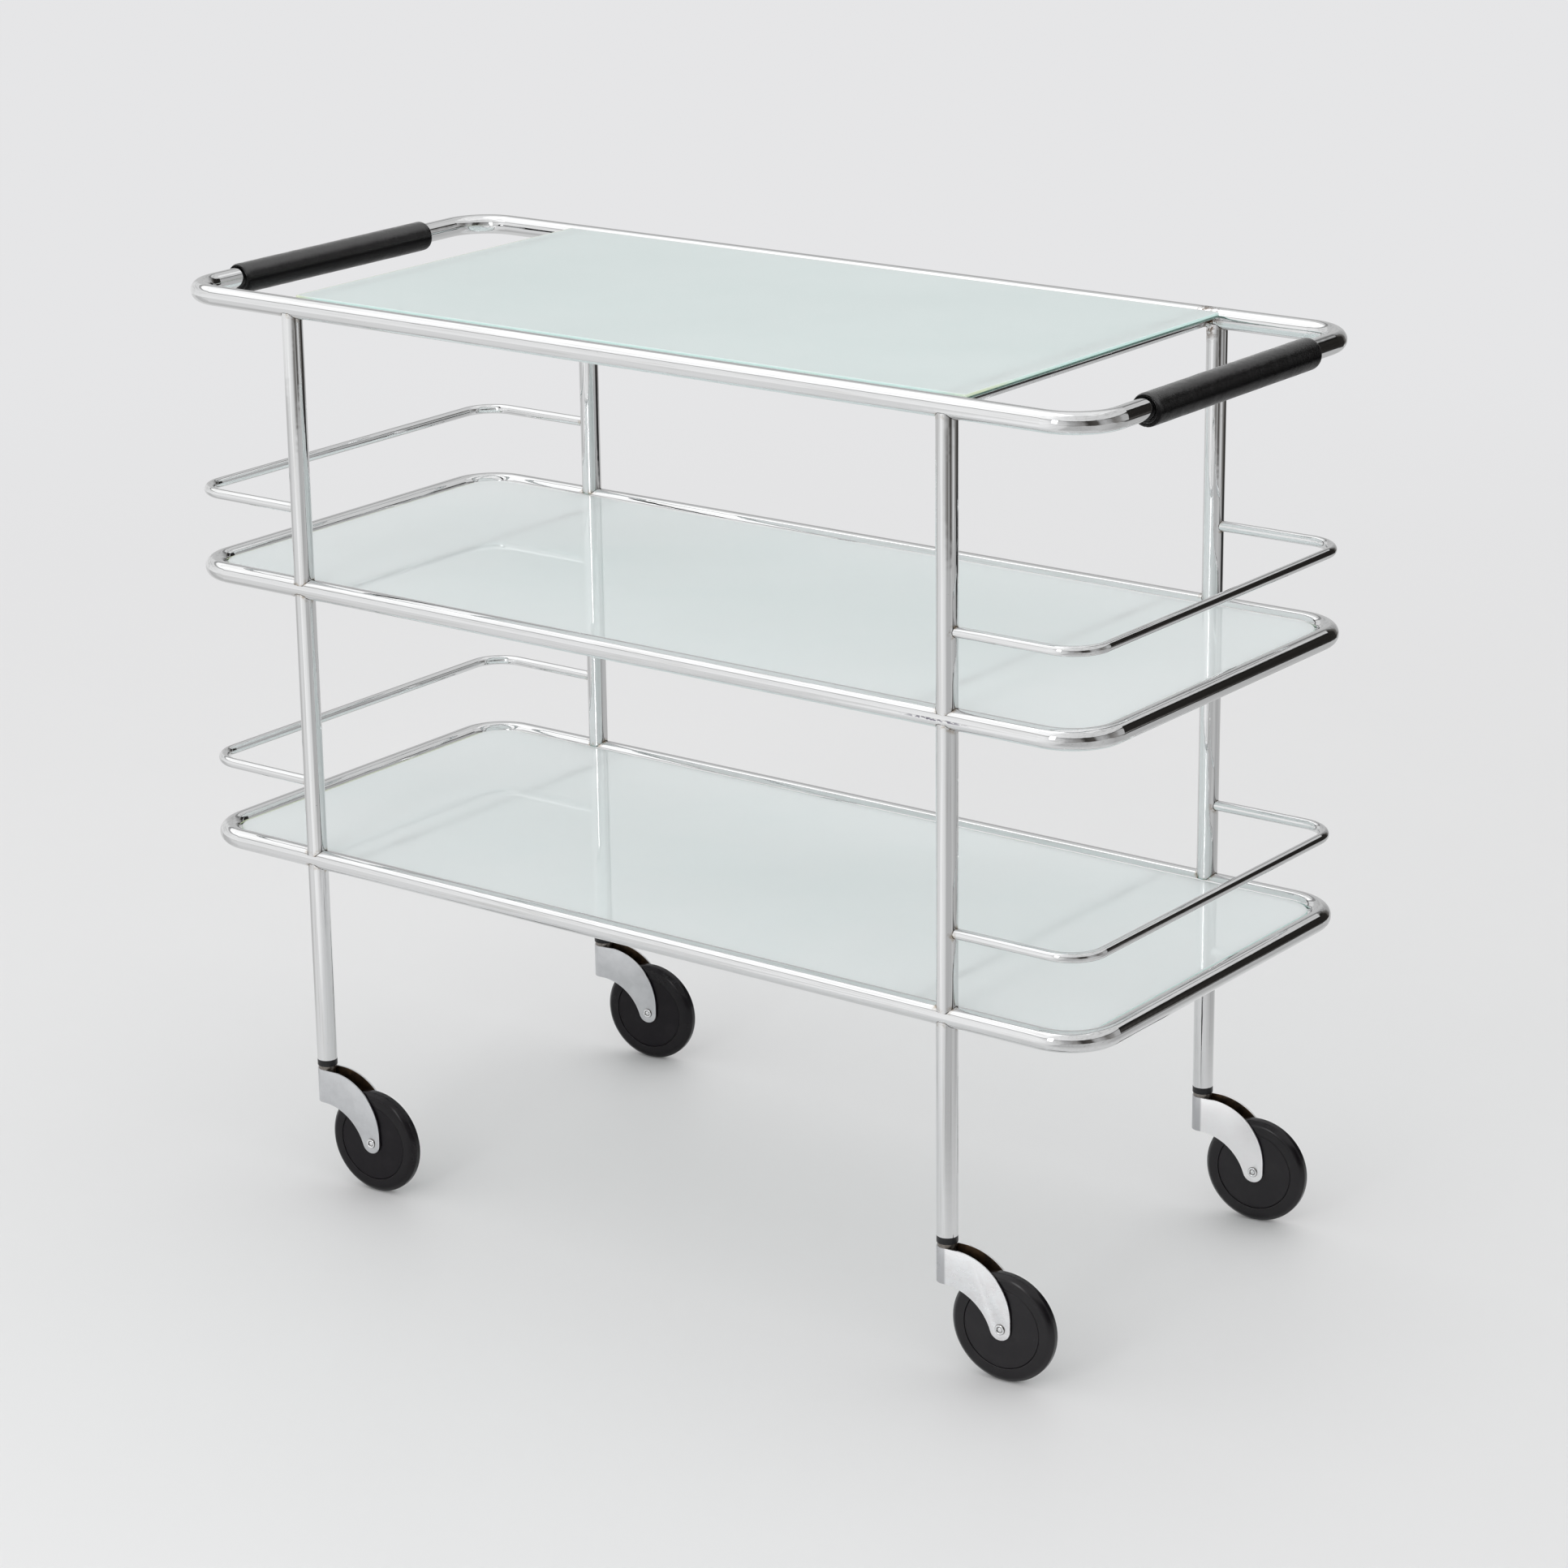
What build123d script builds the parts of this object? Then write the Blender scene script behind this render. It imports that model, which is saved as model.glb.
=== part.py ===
from build123d import *
import os
from math import cos, radians, sin

os.makedirs("parts", exist_ok=True)

# Bar cart, in millimetres. X runs along the cart, the front faces -Y, Z is up
# from the floor, and the origin is on the floor under the middle of the frame.

# Frame tubes
hoop_length = 995.0  # between the centrelines of a hoop's end runs
hoop_width = 419.0  # between the centrelines of its long runs
hoop_corner_radius = 42.0
hoop_diameter = 19.0
hoop_wall = 1.5
post_inset = 137.5  # from a hoop's end run to the axes of the posts
post_diameter = 19.0
post_wall = 1.5
saddle_tip = 4.2  # a saddle's blunt tips stop this far from the hoop's centreline
lower_post_length = 201.5  # from the socket collar to the bottom hoop's centreline
shelf_pitch = 263.0
vent_diameter = 6.0
weld_gap = 0.05  # between a tube and the saddle that is welded to it

# End rails
rail_diameter = 9.5
rail_rise = 75.0  # above the centreline of the hoop below it
rail_inset = 3.0  # from the hoop's end run inwards
rail_corner_radius = 32.0

# Glass and the rods that carry it
glass_thickness = 5.0
glass_edge_radius = 1.6
top_glass_drop = 1.0  # below the crown of the hoop tube
top_glass_overhang = 8.6  # past the posts' axes
top_glass_shift = 1.3  # to the right of the frame's middle
top_glass_side_gap = 3.0
top_glass_corner_radius = 2.5
shelf_glass_rise = 4.4  # above the hoop's centreline
shelf_glass_gap = 1.75
top_rod_diameter = 9.5
top_rod_inset = 7.0  # from the posts' axes
shelf_rod_diameter = 8.0
shelf_rod_inset = 40.0
pad_thickness = 0.9
pad_width = 6.0
pad_length = 36.0
pad_spacing = 260.0

# Grips
grip_length = 260.0
grip_diameter = 28.8
grip_drop = 1.5  # the padding is thicker under the tube than over it
leather_thickness = 2.0
leather_edge_radius = 1.5
grip_core_recess = 1.2  # the core stops short of the leather's ends
sleeve_gap = 0.05

# Wheels
wheel_diameter = 100.0
wheel_width = 14.0
tyre_thickness = 13.4
tyre_shoulder = 4.0
tyre_edge_radius = 1.0
tyre_groove = 0.5
disc_inset = 0.4
hub_diameter = 16.0
hub_end_play = 0.2
axle_diameter = 8.0
running_clearance = 0.05
rivet_head_diameter = 9.6
rivet_head_height = 1.0
rivet_recess_diameter = 4.6
rivet_edge_radius = 0.8

# Forks
wheel_side_clearance = 0.7
fork_sheet = 1.8
fork_trail = 57.0
fork_top_flat = 12.0  # from the swivel axis to the start of the rear curve
fork_lug_radius = 10.0
fork_cheek_rise = 8.5  # straight rear edge above the axle
fork_nose_height = 33.5
fork_lower_curve_start = 2.0

# Stems and sockets
stem_diameter = 11.0
stem_length = 44.0
stem_tip_chamfer = 1.0
flange_thickness = 1.5
flange_inset = 0.8  # from the outside of the fork
boss_height = 28.0
thrust_washer_thickness = 1.35
swivel_clearance = 0.15
collar_height = 6.5
collar_edge = 0.6
socket_insert_length = 38.0

# Directions the casters trail in, in degrees from +X towards +Y
trail_angles = {
    "front_left": 3.0,
    "front_right": 4.8,
    "back_left": 6.6,
    "back_right": 5.9,
}

# How far the grips have slid along the tube, towards the back
grip_shifts = {"left": -5.0, "right": 1.5}

# Sizes that follow from the driving dimensions
hoop_radius = hoop_diameter / 2
post_radius = post_diameter / 2
axle_height = wheel_diameter / 2
fork_curve_radius = fork_trail + fork_lug_radius - fork_top_flat
fork_top = axle_height + fork_cheek_rise + fork_curve_radius
fork_inner_width = wheel_width + 2 * wheel_side_clearance
fork_width = fork_inner_width + 2 * fork_sheet
flange_top = fork_top + flange_thickness
washer_bottom = flange_top + swivel_clearance
collar_bottom = washer_bottom + thrust_washer_thickness
post_end = collar_bottom + collar_height
bottom_height = post_end + lower_post_length
middle_height = bottom_height + shelf_pitch
top_height = middle_height + shelf_pitch

post_spacing = hoop_length - 2 * post_inset
half_spacing = post_spacing / 2
half_width = hoop_width / 2
half_length = hoop_length / 2
corners = {
    "front_left": (-half_spacing, -half_width),
    "front_right": (half_spacing, -half_width),
    "back_left": (-half_spacing, half_width),
    "back_right": (half_spacing, half_width),
}
ends = {"left": -1, "right": 1}

top_glass_level = top_height + hoop_radius - top_glass_drop
top_rod_level = top_glass_level - glass_thickness - pad_thickness - top_rod_diameter / 2
shelf_rod_drop = shelf_glass_rise - glass_thickness - pad_thickness - shelf_rod_diameter / 2
top_rod_x = half_spacing - top_rod_inset
shelf_rod_x = half_spacing - shelf_rod_inset


def save(piece, name):
    piece.part.label = name
    export_step(piece.part, f"parts/{name}.step")


# Hoops: one closed tube per tier, with vents into the posts
def make_hoop(name, height, vent_reach):
    with BuildPart() as hoop:
        with BuildLine(Plane.XY.offset(height)) as centreline:
            FilletPolyline(
                (-half_length, -half_width),
                (half_length, -half_width),
                (half_length, half_width),
                (-half_length, half_width),
                radius=hoop_corner_radius,
                close=True,
            )
        with BuildSketch(Plane(origin=centreline.line @ 0, z_dir=centreline.line % 0)):
            Circle(hoop_radius)
            Circle(hoop_radius - hoop_wall, mode=Mode.SUBTRACT)
        sweep(path=centreline.line)
        with BuildSketch(Plane.XY.offset(height - hoop_diameter)):
            with GridLocations(post_spacing, hoop_width, 2, 2):
                Circle(vent_diameter / 2)
        extrude(amount=vent_reach, mode=Mode.SUBTRACT)
    save(hoop, name)


make_hoop("top_hoop", top_height, vent_reach=hoop_diameter)
make_hoop("middle_hoop", middle_height, vent_reach=2 * hoop_diameter)
make_hoop("bottom_hoop", bottom_height, vent_reach=2 * hoop_diameter)


# Posts: three lengths of tube at each corner, saddle-cut where they meet a hoop
def make_post(name, corner, low, high, hoop_levels):
    x, y = corners[corner]
    with BuildPart() as post:
        with BuildSketch(Plane.XY.offset(low)):
            with Locations((x, y)):
                Circle(post_radius)
                Circle(post_radius - post_wall, mode=Mode.SUBTRACT)
        extrude(amount=high - low)
        with BuildSketch(Plane.YZ.offset(x)):
            with Locations(*[(y, level) for level in hoop_levels]):
                Circle(hoop_radius + weld_gap)
        extrude(amount=post_diameter, both=True, mode=Mode.SUBTRACT)
    save(post, f"{name}_{corner}")


for corner in corners:
    upper_span = (middle_height + saddle_tip, top_height - saddle_tip)
    middle_span = (bottom_height + saddle_tip, middle_height - saddle_tip)
    lower_span = (post_end, bottom_height - saddle_tip)
    make_post("upper_post", corner, *upper_span, [middle_height, top_height])
    make_post("middle_post", corner, *middle_span, [bottom_height, middle_height])
    make_post("lower_post", corner, *lower_span, [bottom_height])


# End rails: rods bent to a U, butted against the outer sides of two posts
def make_rail(name, end, height):
    side = ends[end]
    reach = side * (half_length - rail_inset)
    with BuildPart() as rail:
        with BuildLine(Plane.XY.offset(height)) as centreline:
            FilletPolyline(
                (side * half_spacing, -half_width),
                (reach, -half_width),
                (reach, half_width),
                (side * half_spacing, half_width),
                radius=rail_corner_radius,
            )
        with BuildSketch(Plane(origin=centreline.line @ 0, z_dir=centreline.line % 0)):
            Circle(rail_diameter / 2)
        sweep(path=centreline.line)
        with BuildSketch(Plane.XY.offset(height)):
            with Locations((side * half_spacing, -half_width), (side * half_spacing, half_width)):
                Circle(post_radius + weld_gap)
        extrude(amount=rail_diameter, both=True, mode=Mode.SUBTRACT)
    save(rail, f"{name}_{end}")


for end in ends:
    make_rail("middle_rail", end, middle_height + rail_rise)
    make_rail("bottom_rail", end, bottom_height + rail_rise)


# Cross rods: welded between the long runs of a hoop, clear of the posts beside them
def make_rod(name, x, level, diameter, hoop_level):
    with BuildPart() as rod:
        with BuildSketch(Plane.XZ):
            with Locations((x, level)):
                Circle(diameter / 2)
        extrude(amount=half_width, both=True)
        with BuildSketch(Plane.YZ.offset(x)):
            with Locations((-half_width, hoop_level), (half_width, hoop_level)):
                Circle(hoop_radius + weld_gap)
        extrude(amount=diameter, both=True, mode=Mode.SUBTRACT)
        with BuildSketch(Plane.XY.offset(level - diameter)):
            with GridLocations(post_spacing, hoop_width, 2, 2):
                Circle(post_radius + weld_gap)
        extrude(amount=2 * diameter, mode=Mode.SUBTRACT)
    save(rod, name)


shelf_heights = {"middle": middle_height, "bottom": bottom_height}
for end, side in ends.items():
    make_rod(f"top_rod_{end}", side * top_rod_x, top_rod_level, top_rod_diameter, top_height)
    for shelf, height in shelf_heights.items():
        level = height + shelf_rod_drop
        make_rod(f"{shelf}_rod_{end}", side * shelf_rod_x, level, shelf_rod_diameter, height)


# Glass: plates with rounded, polished edges
def make_glass(name, length, width, corner_radius, top_level, shift=0):
    with BuildPart() as glass:
        with BuildSketch(Plane.XY.offset(top_level - glass_thickness)):
            with Locations((shift, 0)):
                RectangleRounded(length, width, corner_radius)
        extrude(amount=glass_thickness)
        broad_faces = glass.faces().filter_by(Axis.Z)
        fillet(broad_faces.edges(), glass_edge_radius)
    save(glass, name)


hoop_to_glass = hoop_radius + shelf_glass_gap
make_glass(
    "top_glass",
    post_spacing + 2 * top_glass_overhang,
    hoop_width - 2 * (hoop_radius + top_glass_side_gap),
    top_glass_corner_radius,
    top_glass_level,
    shift=top_glass_shift,
)
for shelf, height in shelf_heights.items():
    make_glass(
        f"{shelf}_glass",
        hoop_length - 2 * hoop_to_glass,
        hoop_width - 2 * hoop_to_glass,
        hoop_corner_radius - hoop_to_glass,
        height + shelf_glass_rise,
    )

# Glass pads: strips with a hollow underside that sit astride the rods
pad_seats = [
    (top_rod_x, top_rod_level, top_rod_diameter),
    (shelf_rod_x, middle_height + shelf_rod_drop, shelf_rod_diameter),
    (shelf_rod_x, bottom_height + shelf_rod_drop, shelf_rod_diameter),
]
with BuildPart() as glass_pads:
    for rod_x, rod_level, rod_diameter in pad_seats:
        with BuildSketch(Plane.XY.offset(rod_level)):
            with GridLocations(2 * rod_x, pad_spacing, 2, 2):
                Rectangle(pad_width, pad_length)
        extrude(amount=rod_diameter / 2 + pad_thickness)
        with BuildSketch(Plane.XZ):
            with Locations((-rod_x, rod_level), (rod_x, rod_level)):
                Circle(rod_diameter / 2 + sleeve_gap)
        extrude(amount=hoop_width, both=True, mode=Mode.SUBTRACT)
save(glass_pads, "glass_pads")


# Grips: a firm core on the top hoop's end run, and leather sewn over it
def make_sleeve(name, end, bore_level, inner_radius, outer_radius, length, edge_radius):
    x = ends[end] * half_length
    with BuildPart() as sleeve:
        with BuildSketch(Plane.XZ.offset(-grip_shifts[end])):
            with Locations((x, grip_level)):
                Circle(outer_radius)
            with Locations((x, bore_level)):
                Circle(inner_radius, mode=Mode.SUBTRACT)
        extrude(amount=length / 2, both=True)
        if edge_radius:
            end_faces = sleeve.faces().filter_by(Axis.Y)
            outer_edges = [face.outer_wire().edge() for face in end_faces]
            fillet(outer_edges, edge_radius)
    save(sleeve, f"{name}_{end}")


grip_level = top_height - grip_drop
leather_inner_radius = grip_diameter / 2 - leather_thickness
core_bore_radius = hoop_radius + sleeve_gap
core_outer_radius = leather_inner_radius - sleeve_gap
core_length = grip_length - 2 * grip_core_recess
for end in ends:
    make_sleeve("grip_core", end, top_height, core_bore_radius, core_outer_radius, core_length, 0)
    make_sleeve(
        "grip_leather",
        end,
        grip_level,
        leather_inner_radius,
        grip_diameter / 2,
        grip_length,
        leather_edge_radius,
    )

# Sockets: plugs with a collar, pressed up into the lower posts
socket_insert_radius = post_radius - post_wall - sleeve_gap
for corner, (x, y) in corners.items():
    with BuildPart() as socket:
        with BuildSketch(Plane.XY.offset(collar_bottom)):
            with Locations((x, y)):
                Circle(post_radius)
        extrude(amount=collar_height)
        lower_rim = socket.edges().sort_by(Axis.Z)[0]
        chamfer(lower_rim, collar_edge)
        with BuildSketch(Plane.XY.offset(post_end)):
            with Locations((x, y)):
                Circle(socket_insert_radius)
        extrude(amount=socket_insert_length)
        with BuildSketch(Plane.XY.offset(collar_bottom)):
            with Locations((x, y)):
                Circle(stem_diameter / 2 + running_clearance)
        extrude(amount=collar_height + socket_insert_length, mode=Mode.SUBTRACT)
    save(socket, f"caster_socket_{corner}")

# Thrust washers: one under each socket
with BuildPart() as thrust_washers:
    with BuildSketch(Plane.XY.offset(washer_bottom)):
        with GridLocations(post_spacing, hoop_width, 2, 2):
            Circle(post_radius - collar_edge)
            Circle(stem_diameter / 2 + running_clearance, mode=Mode.SUBTRACT)
    extrude(amount=thrust_washer_thickness)
save(thrust_washers, "thrust_washers")


# Stems: a flange that rests on the fork, a boss inside its nose, a pin in the socket
def make_stem(corner):
    x, y = corners[corner]
    with BuildPart() as stem:
        with BuildSketch(Plane.XY.offset(fork_top)):
            with Locations((x, y)):
                Circle(fork_width / 2 - flange_inset)
        extrude(amount=flange_thickness)
        with BuildSketch(Plane.XY.offset(fork_top)):
            with Locations((x, y)):
                Circle(fork_inner_width / 2 - weld_gap)
        extrude(amount=-boss_height)
        with BuildSketch(Plane.XY.offset(flange_top)):
            with Locations((x, y)):
                Circle(stem_diameter / 2)
        extrude(amount=stem_length)
        tip_edge = stem.edges().sort_by(Axis.Z)[-1]
        chamfer(tip_edge, stem_tip_chamfer)
    save(stem, f"caster_stem_{corner}")


# Forks: sheet bent to a U in plan, then cut to the outline of its cheeks
def make_fork(corner):
    x, y = corners[corner]
    angle = radians(trail_angles[corner])
    trail = Vector(cos(angle), sin(angle), 0)
    side_plane = Plane(origin=(x, y, 0), x_dir=trail, z_dir=trail.cross(Vector(0, 0, 1)))
    plan_plane = Plane(origin=(x, y, 0), x_dir=trail, z_dir=(0, 0, 1))
    rear = fork_trail + fork_lug_radius
    nose = -fork_width / 2
    nose_bottom = fork_top - fork_nose_height
    curve_centre = fork_top - fork_curve_radius
    # The lower curve touches the nose's lower edge and runs on into the lug
    reach = fork_trail - fork_lower_curve_start
    rise = nose_bottom - axle_height + fork_lug_radius
    lower_centre = Vector(fork_lower_curve_start, axle_height + (rise**2 - reach**2) / (2 * rise))
    lower_radius = nose_bottom - lower_centre.Y
    axle_centre = Vector(fork_trail, axle_height)
    to_axle = (axle_centre - lower_centre).normalized()
    touch = lower_centre + to_axle * lower_radius
    half_way = (to_axle + Vector(0, 1)).normalized()
    lower_middle = lower_centre + half_way * lower_radius
    lug_side = (Vector(1, 0) - to_axle).normalized()
    lug_middle = axle_centre + lug_side * fork_lug_radius
    curve_middle = Vector(fork_top_flat, curve_centre)
    curve_middle += Vector(1, 1).normalized() * fork_curve_radius
    with BuildPart() as fork:
        with BuildSketch(side_plane):
            with BuildLine():
                Line((nose, nose_bottom), (nose, fork_top))
                Line((nose, fork_top), (fork_top_flat, fork_top))
                ThreePointArc((fork_top_flat, fork_top), curve_middle, (rear, curve_centre))
                Line((rear, curve_centre), (rear, axle_height))
                ThreePointArc((rear, axle_height), lug_middle, touch)
                ThreePointArc(touch, lower_middle, (fork_lower_curve_start, nose_bottom))
                Line((fork_lower_curve_start, nose_bottom), (nose, nose_bottom))
            make_face()
            with Locations((fork_trail, axle_height)):
                Circle(axle_diameter / 2 + running_clearance, mode=Mode.SUBTRACT)
        extrude(amount=fork_width, both=True)
        with BuildSketch(plan_plane):
            Circle(fork_width / 2)
            Circle(fork_inner_width / 2, mode=Mode.SUBTRACT)
            with Locations((rear / 2, 0)):
                Rectangle(rear, fork_width)
                Rectangle(rear, fork_inner_width, mode=Mode.SUBTRACT)
        extrude(amount=fork_top, mode=Mode.INTERSECT)
    save(fork, f"caster_fork_{corner}")


def axle_plane(corner):
    x, y = corners[corner]
    angle = radians(trail_angles[corner])
    trail = Vector(cos(angle), sin(angle), 0)
    centre = Vector(x, y, axle_height) + trail * fork_trail
    return Plane(origin=centre, x_dir=trail, z_dir=(0, 0, 1))


# Turned pieces: half of the section is listed, as radius and distance from the middle
def both_halves(half):
    return half + [(radius, -across) for radius, across in reversed(half)]


# Axles: rivets with a dished head outside each cheek
def make_axle(corner):
    section = axle_plane(corner)
    shank_radius = axle_diameter / 2
    head_radius = rivet_head_diameter / 2
    head_base = fork_width / 2
    head_face = head_base + rivet_head_height
    half = [
        (shank_radius, head_base),
        (head_radius, head_base),
        (head_radius, head_face),
        (rivet_recess_diameter / 2, head_face),
        (0, head_base),
    ]
    with BuildPart() as axle:
        with BuildSketch(section) as profile:
            with BuildLine():
                Polyline(*both_halves(half), close=True)
            make_face()
            head_corners = profile.vertices().group_by(Axis.X)[-1].sort_by(Axis.Y)
            fillet([head_corners[0], head_corners[-1]], rivet_edge_radius)
        revolve(axis=Axis(section.origin, section.y_dir))
    save(axle, f"caster_axle_{corner}")


# Wheels: a disc whose hub runs on the axle, and a tyre bonded round it
def make_wheel(corner):
    section = axle_plane(corner)
    bore_radius = axle_diameter / 2 + running_clearance
    hub_radius = hub_diameter / 2
    hub_face = fork_inner_width / 2 - hub_end_play
    disc_face = wheel_width / 2 - disc_inset
    rim_radius = wheel_diameter / 2 - tyre_thickness - sleeve_gap
    half = [
        (bore_radius, hub_face),
        (hub_radius, hub_face),
        (hub_radius, disc_face),
        (rim_radius - tyre_groove, disc_face),
        (rim_radius, disc_face - tyre_groove),
    ]
    with BuildPart() as wheel:
        with BuildSketch(section):
            with BuildLine():
                Polyline(*both_halves(half), close=True)
            make_face()
        revolve(axis=Axis(section.origin, section.y_dir))
    save(wheel, f"wheel_{corner}")


def make_tyre(corner):
    section = axle_plane(corner)
    tread_radius = wheel_diameter / 2
    inner_radius = tread_radius - tyre_thickness
    tyre_face = wheel_width / 2
    half = [
        (inner_radius, tyre_face - tyre_groove - disc_inset),
        (inner_radius + tyre_groove, tyre_face),
        (tread_radius - tyre_shoulder, tyre_face),
        (tread_radius, tyre_face - tyre_shoulder),
    ]
    with BuildPart() as tyre:
        with BuildSketch(section) as profile:
            with BuildLine():
                Polyline(*both_halves(half), close=True)
            make_face()
            shoulder_corners = profile.vertices().group_by(Axis.X)[-2:]
            fillet(shoulder_corners[0] + shoulder_corners[1], tyre_edge_radius)
        revolve(axis=Axis(section.origin, section.y_dir))
    save(tyre, f"tyre_{corner}")


for corner in corners:
    make_stem(corner)
    make_fork(corner)
    make_axle(corner)
    make_wheel(corner)
    make_tyre(corner)
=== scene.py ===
# %% [markdown]
# # A bar cart in chrome and frosted glass
#
# The cart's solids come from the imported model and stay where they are. This
# lesson dresses them: it gives each metal, glass and rubber surface its finish,
# remodels the forks, wheels, tyres, rivets and leather grips with Blender's own
# operators, and then lights the cart as a small studio would.

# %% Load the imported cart
from math import atan2, cos, degrees, pi, radians, sin

import bpy
from mathutils import Matrix, Vector


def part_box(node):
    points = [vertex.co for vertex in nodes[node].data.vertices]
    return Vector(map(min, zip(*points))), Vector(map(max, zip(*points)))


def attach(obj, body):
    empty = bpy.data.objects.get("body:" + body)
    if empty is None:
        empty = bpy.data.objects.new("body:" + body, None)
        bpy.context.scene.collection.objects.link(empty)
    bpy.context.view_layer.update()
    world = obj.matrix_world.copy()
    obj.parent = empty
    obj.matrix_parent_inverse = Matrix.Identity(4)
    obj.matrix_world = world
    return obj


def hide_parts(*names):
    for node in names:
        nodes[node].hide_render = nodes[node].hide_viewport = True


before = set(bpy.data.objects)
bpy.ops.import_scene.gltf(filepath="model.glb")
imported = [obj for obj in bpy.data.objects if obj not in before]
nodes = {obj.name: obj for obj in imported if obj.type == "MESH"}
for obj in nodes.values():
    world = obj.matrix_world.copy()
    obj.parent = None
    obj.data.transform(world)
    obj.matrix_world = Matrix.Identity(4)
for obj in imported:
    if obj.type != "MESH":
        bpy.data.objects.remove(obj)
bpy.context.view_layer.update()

corners = ("front_left", "front_right", "back_left", "back_right")
ends = ("left", "right")
tiers = ("top", "middle", "bottom")

# %% [markdown]
# ## Sizes read from the solids
#
# A finish often has to know where a weld or an edge is. These places could be
# typed in, but they are read from the boxes of the solids, so the looks follow
# if the model changes.

# %% Read the frame's main sizes
def middle(node):
    low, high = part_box(node)
    return (low + high) / 2


def size(node):
    low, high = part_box(node)
    return high - low


hoop_heights = [middle(f"{tier}_hoop").z for tier in tiers]
hoop_radius = size("top_hoop").z / 2
post_x = abs(middle("upper_post_front_right").x)
post_y = abs(middle("upper_post_front_right").y)
post_radius = size("upper_post_front_right").x / 2
rail_heights = [middle(f"{tier}_rail_left").z for tier in tiers[1:]]
rail_radius = size("middle_rail_left").z / 2
saddle_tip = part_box("upper_post_front_right")[0].z - hoop_heights[1]
end_x = size("top_hoop").x / 2 - hoop_radius
print(f"posts at {post_x:.4f}, {post_y:.4f} m, hoops at {hoop_heights}")

# %% [markdown]
# ## Small helpers for node trees
#
# Every finish is a tree of shader nodes. Adding a node and wiring it takes a few
# lines each time, so short helpers keep the recipes readable: each adds one node
# and returns its output. A value that comes from another node is a socket, and
# anything else is a number or a colour.

# %% Helpers that wire and reckon
def start_finish(name):
    material = bpy.data.materials.new(name)
    material.use_nodes = True
    tree = material.node_tree
    return material, tree, tree.nodes["Principled BSDF"]


def list_finishes(*finishes):
    for finish in finishes:
        print(finish.name, len(finish.node_tree.nodes), "nodes")


def feed(tree, value, socket):
    if isinstance(value, bpy.types.NodeSocket):
        tree.links.new(value, socket)
    else:
        socket.default_value = value


def reckon(tree, operation, first, second=0.0):
    node = tree.nodes.new("ShaderNodeMath")
    node.operation = operation
    feed(tree, first, node.inputs[0])
    feed(tree, second, node.inputs[1])
    return node.outputs[0]


def reckon_vector(tree, operation, first, second=(0, 0, 0)):
    node = tree.nodes.new("ShaderNodeVectorMath")
    node.operation = operation
    feed(tree, first, node.inputs[0])
    feed(tree, second, node.inputs[1])
    return next(output for output in node.outputs if output.enabled)


def split(tree, vector):
    node = tree.nodes.new("ShaderNodeSeparateXYZ")
    tree.links.new(vector, node.inputs[0])
    return node.outputs["X"], node.outputs["Y"], node.outputs["Z"]


print("helpers that wire and reckon")

# %% [markdown]
# ## Helpers for blending
#
# Most finishes are one colour laid over another in some places. What decides
# where is a value from 0 to 1, and a distance or a noise is seldom in that range
# by itself. A colour ramp could bring it there. Two plain numbers, for where the
# change starts and where it is done, are easier to read.

# %% Helpers that fade and blend
def fade(tree, value, start, end):
    """0 at start, 1 at end, and smooth between them."""
    node = tree.nodes.new("ShaderNodeMapRange")
    node.interpolation_type = "SMOOTHSTEP"
    feed(tree, value, node.inputs["Value"])
    node.inputs["From Min"].default_value = start
    node.inputs["From Max"].default_value = end
    return node.outputs["Result"]


def rescale(tree, value, low, high):
    """A value from 0 to 1, spread over low to high."""
    node = tree.nodes.new("ShaderNodeMapRange")
    feed(tree, value, node.inputs["Value"])
    node.inputs["To Min"].default_value = low
    node.inputs["To Max"].default_value = high
    return node.outputs["Result"]


def blend_colours(tree, share, first, second):
    node = tree.nodes.new("ShaderNodeMix")
    node.data_type = "RGBA"
    feed(tree, share, node.inputs["Factor"])
    feed(tree, first, node.inputs["A"])
    feed(tree, second, node.inputs["B"])
    return node.outputs["Result"]


print("helpers that fade and blend")

# %% [markdown]
# ## Helpers for patterns
#
# Painted textures would need a UV map on every tube and plate. Here the patterns
# are laid out by a point's place in the cart instead. Noise gives clouds, specks
# and scratches, its scale says about how many of them go into a metre, and a bump
# turns such a pattern into relief that is too fine to model.

# %% Helpers that place and pattern
def place(tree):
    """Object coordinates: in this scene they are metres in the cart's own frame."""
    return tree.nodes.new("ShaderNodeTexCoord").outputs["Object"]


def facing_up(tree):
    """1 where the surface looks up, 0 where it stands, and -1 where it looks down."""
    return split(tree, tree.nodes.new("ShaderNodeTexCoord").outputs["Normal"])[2]


def stretch(tree, vector, scale):
    node = tree.nodes.new("ShaderNodeMapping")
    tree.links.new(vector, node.inputs["Vector"])
    node.inputs["Scale"].default_value = scale
    return node.outputs["Vector"]


def grain(tree, vector, scale, detail=3.0, roughness=0.55):
    node = tree.nodes.new("ShaderNodeTexNoise")
    tree.links.new(vector, node.inputs["Vector"])
    node.inputs["Scale"].default_value = scale
    node.inputs["Detail"].default_value = detail
    node.inputs["Roughness"].default_value = roughness
    return node.outputs["Fac"]


def patches(tree, vector, pattern, detail=3.0, roughness=0.55):
    """A pattern is the noise's scale, the noise where patches start, and where they are full."""
    scale, start, full = pattern
    return fade(tree, grain(tree, vector, scale, detail, roughness), start, full)


def bump(tree, height, distance, normal=None):
    node = tree.nodes.new("ShaderNodeBump")
    tree.links.new(height, node.inputs["Height"])
    node.inputs["Distance"].default_value = distance
    node.inputs["Strength"].default_value = 1.0
    if normal is not None:
        tree.links.new(normal, node.inputs["Normal"])
    return node.outputs["Normal"]


print("helpers that place and pattern")

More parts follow.
